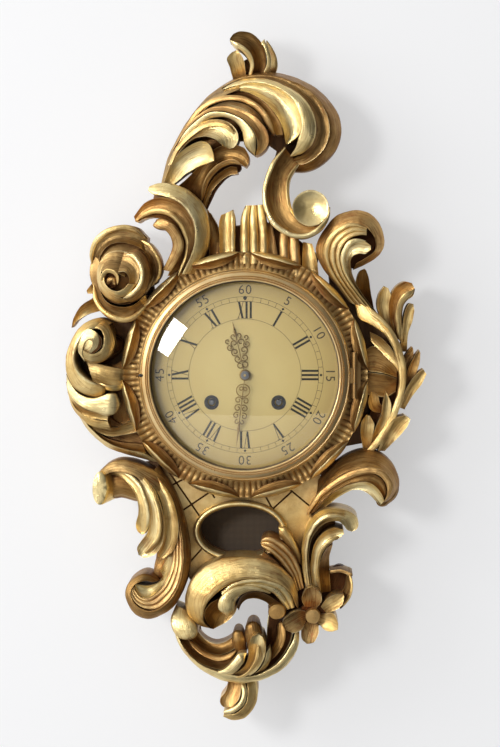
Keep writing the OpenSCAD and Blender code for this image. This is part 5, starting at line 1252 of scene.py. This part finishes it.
PETALS = 12
PETAL_STEP = 360 // PETALS
PETAL_HALF_ANGLE = 12.6
PETAL_RADIUS = 123.6
PETAL_INNER = 112.0
PETAL_TWIST = 1.2
PETAL_POINTS = 9
# Lines along a petal: radius at its ends, bulge in the middle, depth at its ends, rise in the middle, twist
PETAL_OUTER = (PETAL_RADIUS, 0.4, 76, 2, PETAL_TWIST)
PETAL_CREST = (PETAL_RADIUS - 0.8, -4.4, 78, 5, PETAL_TWIST)
PETAL_FOOT = (PETAL_RADIUS - 1.2, PETAL_INNER - PETAL_RADIUS, 76, 1.5, 0)


def around_dial(radius, clock_angle, depth):
    a = math.radians(clock_angle)
    return [SHEET[0] + radius * math.sin(a), SHEET[1] - radius * math.cos(a), depth]


def petal_line(middle, radius, bulge, depth, rise, twist):
    line = []
    for t in np.linspace(-1, 1, PETAL_POINTS):
        swell = (1 - t * t) ** 0.7
        angle = middle + PETAL_HALF_ANGLE * t
        line.append(around_dial(radius + bulge * swell, angle, depth + rise * swell + twist * t))
    return line


def petal(middle):
    """One leaf of the scalloped edge: a rolled lip over a hollow, pointed at both ends."""
    outer, crest, foot = [petal_line(middle, *line) for line in (PETAL_OUTER, PETAL_CREST, PETAL_FOOT)]
    return [leaf("roll", 0.3, outer, crest, "pale"), leaf("hollow", 0.16, crest, foot, "brown", "second")]


petals = [petal(PETAL_STEP * (i + 0.5)) for i in range(PETALS)]
petal_parts = [hand_cut(part, j) for parts in petals for j, part in enumerate(parts)]
build("surround_petals_carved", petal_parts, stands_for=("surround_petals",))

# The sound opening, with half its width and height, and its rim
OPENING = (-5, -158)
OPENING_HALF = (41, 25)
RIM_HALF, RIM_RISE = 3.25, 5
RIM_BACK, RIM_SPRING = 42, 65
RIM_AROUND, RIM_STEPS = 96, 12


def rim_ring():
    """The rounded rim of the sound opening."""
    section = []
    for j in range(RIM_STEPS + 1):
        a = math.pi * j / RIM_STEPS
        section.append((RIM_HALF - RIM_HALF * math.cos(a), RIM_SPRING + RIM_RISE * math.sin(a)))
    section += [(2 * RIM_HALF, RIM_BACK), (0, RIM_BACK)]
    wide, tall = OPENING_HALF
    rows = []
    for s, c in turns(RIM_AROUND):
        rows += [(OPENING[0] + (wide + out) * c, d, OPENING[1] + (tall + out) * s) for out, d in section]
    return rows, grid_faces(RIM_AROUND, len(section), close_rows=True)


build("aperture_rim_carved", [rim_ring()], TONES["pale"], stands_for=("aperture_rim",))

# Bezel, as (radius, depth): the side, the outer bead, the slope, the two inner beads and the bore
BEZEL_PROFILE = [
    (98.2, 77.3), (105.2, 77.3), (105.5, 77.8), (105.5, 84.6),
    (105.2, 86.0), (104.6, 87.0), (103.9, 87.5), (103.3, 87.2), (103.1, 86.6),
    (102.9, 86.7), (102.6, 88.2), (101.6, 89.0), (100.2, 89.7), (99.3, 90.1), (99.1, 89.2),
    (98.8, 89.1), (98.5, 90.4), (98.0, 91.1), (97.4, 91.1), (97.1, 90.5), (97.0, 89.8),
    (96.8, 89.8), (96.6, 90.9), (95.9, 91.8), (95.1, 91.9), (94.6, 91.7),
    (94.5, 91.3), (94.5, 84.0), (98.2, 84.0),
]
BEDDING_AND_SHADE_PROFILE = [(93.1, 84.3), (93.5, 85.0), (94.1, 86.4), (94.6, 88.6), (94.9, 84.2)]
BEZEL_AROUND = 288
HINGE = (109.5, 86.0)
HINGE_STRIP = [(102.0, 84.0), (HINGE[0], 84.0), (HINGE[0], 86.0), (102.0, 86.0)]
KNUCKLE_RADIUS, KNUCKLE_HALF, KNUCKLE_STEPS = 1.8, 7.5, 24
CATCH_RADIUS, CATCH_HALF = 103.4, (2.7, 1.5)
CATCH_BACK, CATCH_FRONT = 86.5, 89.2


def knuckle():
    """The bezel's hinge knuckle and the strip that joins it to the ring."""
    ring = [(HINGE[0] + KNUCKLE_RADIUS * math.cos(a), HINGE[1] + KNUCKLE_RADIUS * math.sin(a))
            for a in np.linspace(0, 2 * math.pi, KNUCKLE_STEPS, endpoint=False)]
    out = []
    for outline in (ring, HINGE_STRIP):
        rows = [(x, d, up) for up in (-KNUCKLE_HALF, KNUCKLE_HALF) for x, d in outline]
        count = len(outline)
        out.append((rows, grid_faces(2, count) + tube_ends(2, count)))
    return out


bezel_ring = turned(BEZEL_PROFILE, BEZEL_AROUND)
build("bezel_ring_turned", [bezel_ring], BRASS, "bezel", stands_for=("bezel_ring",), crease=32)
build("bezel_knuckle", knuckle(), DULL_BRASS, "bezel")
catch_centre = (SHEET[0] - CATCH_RADIUS, SHEET[1])
catch = plug(catch_centre, CATCH_HALF, CATCH_FRONT, (0, 0), "gold", CATCH_BACK, around=24)
build("bezel_catch", [catch], BLACK, "bezel")
# The bedding is a dark putty ring that also stands for painted shade along the glass edge
build("glass_bedding_and_shade", [turned(BEDDING_AND_SHADE_PROFILE, BEZEL_AROUND)], PUTTY_AND_SHADE, "bezel")

GLASS_RADIUS, GLASS_RISE, GLASS_EDGE, GLASS_THICK = 98.0, 13.0, 83, 2.0
GLASS_SIDE = [(GLASS_RADIUS, 82.5), (96.6, 82.4)]
GLASS_INNER = 96.5
GLASS_MIDDLE, GLASS_STEPS = 0.01, 40


def glass_dome():
    """A shallow dome of even thickness."""
    ball = (GLASS_RADIUS**2 + GLASS_RISE**2) / (2 * GLASS_RISE)
    foot = GLASS_EDGE + GLASS_RISE - ball
    radii = np.linspace(GLASS_MIDDLE, GLASS_RADIUS, GLASS_STEPS)
    top = [(r, foot + math.sqrt(ball * ball - r * r)) for r in radii]
    under = [(r, d - GLASS_THICK) for r, d in top[::-1] if r < GLASS_INNER]
    return turned(top + GLASS_SIDE + under)


glass = build("bezel_glass_blown", [glass_dome()], GLASS, "bezel", stands_for=("bezel_glass",), crease=60)
glass.visible_shadow = False


# Dial printing, as flat shapes just off the dial
OFF_SURFACE = 0.06
PRINT_DEPTH = DIAL_FRONT + OFF_SURFACE
HOUR_RING, MINUTE_RING, OUTER_RING = 56, 73.5, 78.2
LINE_WIDE = 0.35
TICK_HALF = 0.18
DIAMOND_HALF = (1.5, 1.55)
DOT_RADIUS, DOT_OUT, DOT_DEPTH = 1.9, 77, PRINT_DEPTH + 0.04
DOT_ANGLES = np.linspace(0, 6.1, 24)
MINUTE_STEP, HOUR_STEP = 6, 30


def to_sides(points, wide, closed):
    """The step from each point of a line to its left side."""
    way = np.roll(points, -1, 0) - np.roll(points, 1, 0) if closed else np.gradient(points, axis=0)
    way /= np.maximum(np.hypot(way[:, 0], way[:, 1]), 1e-6)[:, None]
    return np.column_stack([-way[:, 1], way[:, 0]]) * wide / 2


def flat_strip(points, wide, closed=False, depth=PRINT_DEPTH):
    """A thin line of ink along points of (x, up)."""
    p = np.asarray(points, float)
    rows = []
    for q, s in zip(p, to_sides(p, wide, closed)):
        rows += [(q[0] + s[0], depth, q[1] + s[1]), (q[0] - s[0], depth, q[1] - s[1])]
    return rows, grid_faces(len(p), 2, close_rows=closed, close_columns=False)


def ring_line(radius, steps=180):
    return flat_strip([(radius * s, radius * c) for s, c in turns(steps)], LINE_WIDE, closed=True)


def on_dial(across, out, clock_angle):
    """A point at a distance out from the centre along a clock angle, and across it."""
    a = math.radians(clock_angle)
    return (out * math.sin(a) + across * math.cos(a), out * math.cos(a) - across * math.sin(a))


def ink_quad(corners, clock_angle):
    """Four corners of (across, out), filled."""
    places = [on_dial(across, out, clock_angle) for across, out in corners]
    return [(x, PRINT_DEPTH, up) for x, up in places], [[0, 1, 2, 3]]


def stroke(foot, head, low, high, clock_angle):
    """A stroke of a numeral, from a foot to a head that are each (left, right)."""
    return ink_quad([(foot[0], low), (foot[1], low), (head[1], high), (head[0], high)], clock_angle)


ROMAN = ["XII", "I", "II", "III", "IIII", "V", "VI", "VII", "VIII", "IX", "X", "XI"]
LETTER_WIDE = {"I": 4.2, "V": 7.7, "X": 7.3}
NUMERAL_FOOT, NUMERAL_TOP = 56.5, 73.2
BAR_HALF = 1.05
SERIF_HALF, SERIF_THICK = 1.7, 0.4
# Both sides of a thick and of a thin stroke, from the side of the letter that its head is on, and its serif
THICK, THICK_SERIF = (0.7, 2.9), 1.5
THIN, THIN_SERIF = (0.9, 1.5), 1.2
# Both sides of the two strokes where they meet at the point of a V, from its middle
THICK_POINT = (-1.1, 0.6)
THIN_POINT = (-0.3, 0.3)


def roman(text, clock_angle):
    """Thick and thin strokes with serifs, feet to the centre."""
    low, high = NUMERAL_FOOT, NUMERAL_TOP
    left = -sum(LETTER_WIDE[c] for c in text) / 2
    out = []
    for c in text:
        right = left + LETTER_WIDE[c]
        mid = left + LETTER_WIDE[c] / 2
        thick_head = (left + THICK[0], left + THICK[1])
        thin_head = (right - THIN[1], right - THIN[0])
        feet, heads = [], [left + THICK_SERIF, right - THIN_SERIF]
        if c == "I":
            bar = (mid - BAR_HALF, mid + BAR_HALF)
            strokes = [(bar, bar)]
            feet, heads = [mid], [mid]
        elif c == "V":
            thick_foot = (mid + THICK_POINT[0], mid + THICK_POINT[1])
            thin_foot = (mid + THIN_POINT[0], mid + THIN_POINT[1])
            strokes = [(thick_foot, thick_head), (thin_foot, thin_head)]
        else:
            thick_foot = (right - THICK[1], right - THICK[0])
            thin_foot = (left + THIN[0], left + THIN[1])
            strokes = [(thick_foot, thick_head), (thin_foot, thin_head)]
            feet = [left + THIN_SERIF, right - THICK_SERIF]
        out += [stroke(foot, head, low, high, clock_angle) for foot, head in strokes]
        for middles, start, stop in ((feet, low, low + SERIF_THICK), (heads, high - SERIF_THICK, high)):
            for m in middles:
                ends = (m - SERIF_HALF, m + SERIF_HALF)
                out.append(stroke(ends, ends, start, stop, clock_angle))
        left = right
    return out


printing = [ring_line(radius) for radius in (HOUR_RING, MINUTE_RING, OUTER_RING)]
between = (MINUTE_RING + OUTER_RING) / 2
for minute in range(60):
    if minute % 5:
        tick = (-TICK_HALF, TICK_HALF)
        printing.append(stroke(tick, tick, MINUTE_RING, OUTER_RING, minute * MINUTE_STEP))
    else:
        half, tall = DIAMOND_HALF
        diamond = [(-half, between), (0, between - tall), (half, between), (0, between + tall)]
        printing.append(ink_quad(diamond, minute * MINUTE_STEP))
for hour, text in enumerate(ROMAN):
    printing += roman(text, hour * HOUR_STEP)
dot = [(DOT_RADIUS * math.cos(a), DOT_DEPTH, DOT_OUT + DOT_RADIUS * math.sin(a)) for a in DOT_ANGLES]
printing.append((dot, [list(range(len(dot)))]))
build("dial_printing", printing, INK)

FIGURE_SIZE = 0.0128
FIGURE_SPACING = 1.12
FIGURE_RADIUS = 84.8


def figures():
    """The five-minute figures, set round the dial with their feet to the centre."""
    for i in range(1, 13):
        curve = bpy.data.curves.new("figure", "FONT")
        curve.body = str(i * 5)
        curve.size = FIGURE_SIZE
        curve.space_character = FIGURE_SPACING
        curve.align_x = "CENTER"
        curve.align_y = "CENTER"
        curve.materials.append(INK_LIGHT)
        thing = placed("figure_" + str(i * 5), curve)
        x, up = on_dial(0, FIGURE_RADIUS, i * HOUR_STEP)
        thing.location = (x * MM, -PRINT_DEPTH * MM, up * MM)
        thing.rotation_euler = (math.pi / 2, math.radians(i * HOUR_STEP), 0)
        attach(thing, "case")


figures()

# Painted shade in the trellis grooves: dark strips, each from one sheet point to another
TRELLIS = [
    [[160, 493], [206, 468]], [[178, 515], [212, 492]], [[168, 474], [202, 523]], [[186, 568], [204, 548]],
    [[196, 470], [214, 500]], [[268, 515], [292, 493]], [[286, 488], [310, 508]], [[262, 492], [274, 514]],
]
GROOVE_WIDE = 1.8
trellis_lines = [[(x - SHEET[0], SHEET[1] - y) for x, y in line] for line in TRELLIS]
groove_shade = [flat_strip(line, GROOVE_WIDE, depth=APRON_FRONT + OFF_SURFACE) for line in trellis_lines]
build("trellis_groove_shade", groove_shade, TONES["shadow"])


# Hands, of pierced scrolls on both sides of a straight stem
HAND_THICK, HAND_SHOULDER = 0.8, 0.48
HUB_WIDE, STEM_WIDE, CURL_WIDE = 2.0, 0.7, 0.95
HUB_STEPS, STEM_STEPS, CURL_STEPS = 40, 6, 28
LAYER = 0.02
LANCE_FOOT, LANCE_WAIST, LANCE_TIP = 0.5, 0.45, 0.15
# Sections of a bar and of the lance, as shares of the half width and heights
BAR_SECTION = [
    (1, 0), (1, HAND_SHOULDER), (0.5, HAND_THICK), (-0.5, HAND_THICK), (-1, HAND_SHOULDER), (-1, 0),
]
LANCE_SECTION = [(1, 0), (0.9, 0.5), (0, HAND_THICK), (-0.9, 0.5), (-1, 0)]


def bar(points, wide, depth, clock_angle, closed=False):
    """A flat bar along points of (across, out) on a hand that points along a clock angle."""
    p = np.asarray(points, float)
    columns = len(BAR_SECTION)
    rows = []
    for q, s in zip(p, to_sides(p, wide, closed)):
        for share, height in BAR_SECTION:
            x, up = on_dial(*(q + s * share), clock_angle)
            rows.append((x, depth + height, up))
    faces = grid_faces(len(p), columns, close_rows=closed)
    if not closed:
        faces += tube_ends(len(p), columns)
    return rows, flipped(faces)


def curl(across, out, radius, start, stop, inner):
    """A spiral about a point, from one angle to another in degrees, closing from radius to inner."""
    found = []
    for t in np.linspace(0, 1, CURL_STEPS):
        a = math.radians(start + (stop - start) * t)
        r = radius + (inner - radius) * t
        found.append((across + r * math.cos(a), out + r * math.sin(a)))
    return found


def lance(start, widest, half, tip, depth, clock_angle):
    """The blade at the end of a hand."""
    blade = [(start, LANCE_FOOT), (widest, half), ((widest + tip) / 2, half * LANCE_WAIST), (tip, LANCE_TIP)]
    columns = len(LANCE_SECTION)
    rows = []
    for out, wide in blade:
        for share, height in LANCE_SECTION:
            x, up = on_dial(share * wide, out, clock_angle)
            rows.append((x, depth + height, up))
    return rows, flipped(grid_faces(len(blade), columns) + tube_ends(len(blade), columns))


def hand(curls, hub, blade, depth, clock_angle):
    """A hub ring, pairs of curls up the stem and a lance of (start, widest, half width, tip)."""
    angles = np.linspace(0, 2 * math.pi, HUB_STEPS, endpoint=False)
    circle = [(hub * math.cos(a), hub * math.sin(a)) for a in angles]
    stem = [(0, out) for out in np.linspace(hub, blade[1], STEM_STEPS)]
    parts = [bar(circle, HUB_WIDE, depth, clock_angle, closed=True)]
    parts.append(bar(stem, STEM_WIDE, depth - LAYER, clock_angle))
    for side in (1, -1):
        for item in curls:
            line = [(side * across, out) for across, out in curl(*item)]
            parts.append(bar(line, CURL_WIDE, depth + LAYER, clock_angle))
    parts.append(lance(*blade, depth, clock_angle))
    return parts


# Curls on one side of the stem: across, out, outer radius, first and last angle, and inner radius
HOUR_CURLS = [
    (2.6, 10.4, 3.0, -200, 130, 2.2),
    (3.4, 17.2, 3.8, -150, 250, 1.2),
    (4.6, 24.6, 4.2, -120, 330, 1.2),
    (8.6, 30.0, 3.4, -170, 260, 1.0),
    (3.4, 33.2, 3.6, -60, 300, 1.4),
    (9.4, 36.6, 2.6, -110, 210, 1.0),
    (2.8, 40.0, 2.8, -90, 200, 1.2),
]
MINUTE_CURLS = [
    (0.6, 15.5, 6.2, -90, 92, 6.0),
    (2.0, 14.2, 2.6, -200, 160, 1.0),
    (3.6, 25.6, 3.6, -160, 230, 1.1),
    (3.2, 33.4, 3.8, -130, 270, 1.1),
    (3.8, 41.0, 3.4, -120, 260, 1.0),
    (2.4, 47.4, 2.4, -100, 190, 1.0),
]
HOUR_HUB, MINUTE_HUB = 4.6, 4.2
HOUR_BLADE, MINUTE_BLADE = (38, 44, 1.5, 54.5), (46, 53, 1.4, 72)
HOUR_DEPTH, MINUTE_DEPTH = 76.0, 78.5
HOUR_ANGLE, MINUTE_ANGLE = -13.2, 186.8
hour_hand = hand(HOUR_CURLS, HOUR_HUB, HOUR_BLADE, HOUR_DEPTH, HOUR_ANGLE)
minute_hand = hand(MINUTE_CURLS, MINUTE_HUB, MINUTE_BLADE, MINUTE_DEPTH, MINUTE_ANGLE)
build("hour_hand_pierced", hour_hand, HAND_GILT, "hour_work", stands_for=("hour_hand",))
build("minute_hand_pierced", minute_hand, HAND_GILT, "minute_work", stands_for=("minute_hand",))


# Finishes for the CAD nodes that stay
def finish_nodes(material, *names):
    for name in names:
        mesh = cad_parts[name].data
        mesh.materials.clear()
        mesh.materials.append(material)


finish_nodes(BRASS, "glass_retainer", "dial_screws")
finish_nodes(DULL_BRASS, "hinge_leaf", "bezel_knob")
finish_nodes(PLATE_BRASS, "rear_cover", "front_plate", "back_plate", "pillars", "going_barrel",
             "strike_barrel", "middle_wheel", "centre_wheel", "minute_wheel", "hour_wheel", "third_wheel",
             "escape_wheel", "pendulum")
finish_nodes(STEEL, "case_screws", "hanger_plate", "hinge_pin", "cannon_pinion", "anchor", "hammer", "gong",
             "gong_block", "hand_nut", "going_arbor", "strike_arbor")
finish_nodes(WOOD, "ground_board", "movement_case")
finish_nodes(TONES["gold"], "apron_board")
# The grommets are black as painted shade inside the winding holes
finish_nodes(BLACK, "winding_grommets")
finish_nodes(CLOTH, "sound_cloth")
finish_nodes(DIAL, "dial_plate")


# Stage
WALL_PAINT = (0.46, 0.46, 0.46, 1)
WALL_GLOW = 0.46
WALL_HALF = (4, 3)
WALL_GAP = 0.001


def wall_finish():
    """Pale paint on the room side only, so that the back of the clock can be looked at."""
    material, n = new_material("wall_paint")
    n.surface(Base_Color=WALL_PAINT, Roughness=0.9, Emission_Color=(1, 1, 1, 1))
    rays = n.add("ShaderNodeLightPath").outputs
    mirrored = n.calc("MAXIMUM", rays["Is Glossy Ray"], rays["Is Transmission Ray"])
    seen = n.calc("MAXIMUM", rays["Is Camera Ray"], mirrored)
    n.surface(Emission_Strength=n.calc("MULTIPLY", seen, WALL_GLOW))
    clear = n.add("ShaderNodeBsdfTransparent")
    side = n.add("ShaderNodeNewGeometry")
    both = n.add("ShaderNodeMixShader", {"Fac": side.outputs["Backfacing"]})
    n.tree.links.new(n.shader.outputs[0], both.inputs[1])
    n.tree.links.new(clear.outputs[0], both.inputs[2])
    n.tree.links.new(both.outputs[0], n.output.inputs["Surface"])
    return material


def wall():
    wide, tall = WALL_HALF
    mesh = bpy.data.meshes.new("wall")
    corners = [(x * wide, WALL_GAP, z * tall) for x, z in ((-1, -1), (1, -1), (1, 1), (-1, 1))]
    mesh.from_pydata(corners, [], [[0, 1, 2, 3]])
    mesh.materials.append(wall_finish())
    thing = placed("wall", mesh)
    thing.visible_shadow = False


wall()


def softbox(name, place, aim, size, power, roll=0):
    """A rectangular lamp of a size and power in m and W, rolled about its beam."""
    light = bpy.data.lights.new(name, "AREA")
    light.shape = "RECTANGLE"
    light.size, light.size_y = size
    light.energy = power
    thing = placed(name, light)
    thing.location = place
    facing = Vector(np.array(aim) - np.array(place)).to_track_quat("-Z", "Y")
    thing.rotation_euler = (facing @ Quaternion((0, 0, 1), math.radians(roll))).to_euler()


softbox("key", (-1.22, -2.2, 0.5), (0, -0.08, 0), (0.48, 0.52), 23, roll=-32)
softbox("sky", (-2.7, -1.4, 1.3), (0, -0.05, 0.05), (1.8, 1.8), 36)
softbox("table", (0.1, -2.0, -0.98), (0, -0.08, 0), (2.4, 0.8), 4)

ROOM_COLOUR = (0.95, 0.96, 1.0, 1)
BRIGHT_SIDE = (-0.93, 0.12, 0.34)
ROOM_SPREAD = {"From Min": -0.6, "From Max": 0.75, "To Min": 0.1, "To Max": 1.1}


def room_light():
    """A pale room that is brightest up to the left and dim to the right and below."""
    world = bpy.data.worlds.new("room")
    bpy.context.scene.world = world
    world.use_nodes = True
    tree = world.node_tree
    way = tree.nodes.new("ShaderNodeTexCoord")
    toward = tree.nodes.new("ShaderNodeVectorMath")
    toward.operation = "DOT_PRODUCT"
    toward.inputs[1].default_value = BRIGHT_SIDE
    spread = tree.nodes.new("ShaderNodeMapRange")
    for name, value in ROOM_SPREAD.items():
        spread.inputs[name].default_value = value
    background = tree.nodes["Background"]
    background.inputs["Color"].default_value = ROOM_COLOUR
    tree.links.new(way.outputs["Generated"], toward.inputs[0])
    tree.links.new(toward.outputs["Value"], spread.inputs["Value"])
    tree.links.new(spread.outputs["Result"], background.inputs["Strength"])


room_light()
bpy.context.scene.view_settings.view_transform = "Standard"

# Camera, square on and a little above. The height of view is in metres at the aim.
CAMERA_AIM = np.array([0.005, -0.075, 0.0015])
CAMERA_DISTANCE = 2.4
AZIMUTH, ELEVATION = math.radians(1.5), math.radians(2.5)
SENSOR_HEIGHT = 24
VIEW_HEIGHT = 0.747


def camera():
    level = math.cos(ELEVATION)
    away = np.array([math.sin(AZIMUTH) * level, -math.cos(AZIMUTH) * level, math.sin(ELEVATION)])
    lens = bpy.data.cameras.new("camera")
    lens.sensor_fit = "VERTICAL"
    lens.sensor_height = SENSOR_HEIGHT
    lens.lens = SENSOR_HEIGHT * CAMERA_DISTANCE / VIEW_HEIGHT
    thing = placed("camera", lens)
    thing.location = CAMERA_AIM + away * CAMERA_DISTANCE
    thing.rotation_euler = (math.pi / 2 - ELEVATION, 0, AZIMUTH)
    bpy.context.scene.camera = thing


camera()
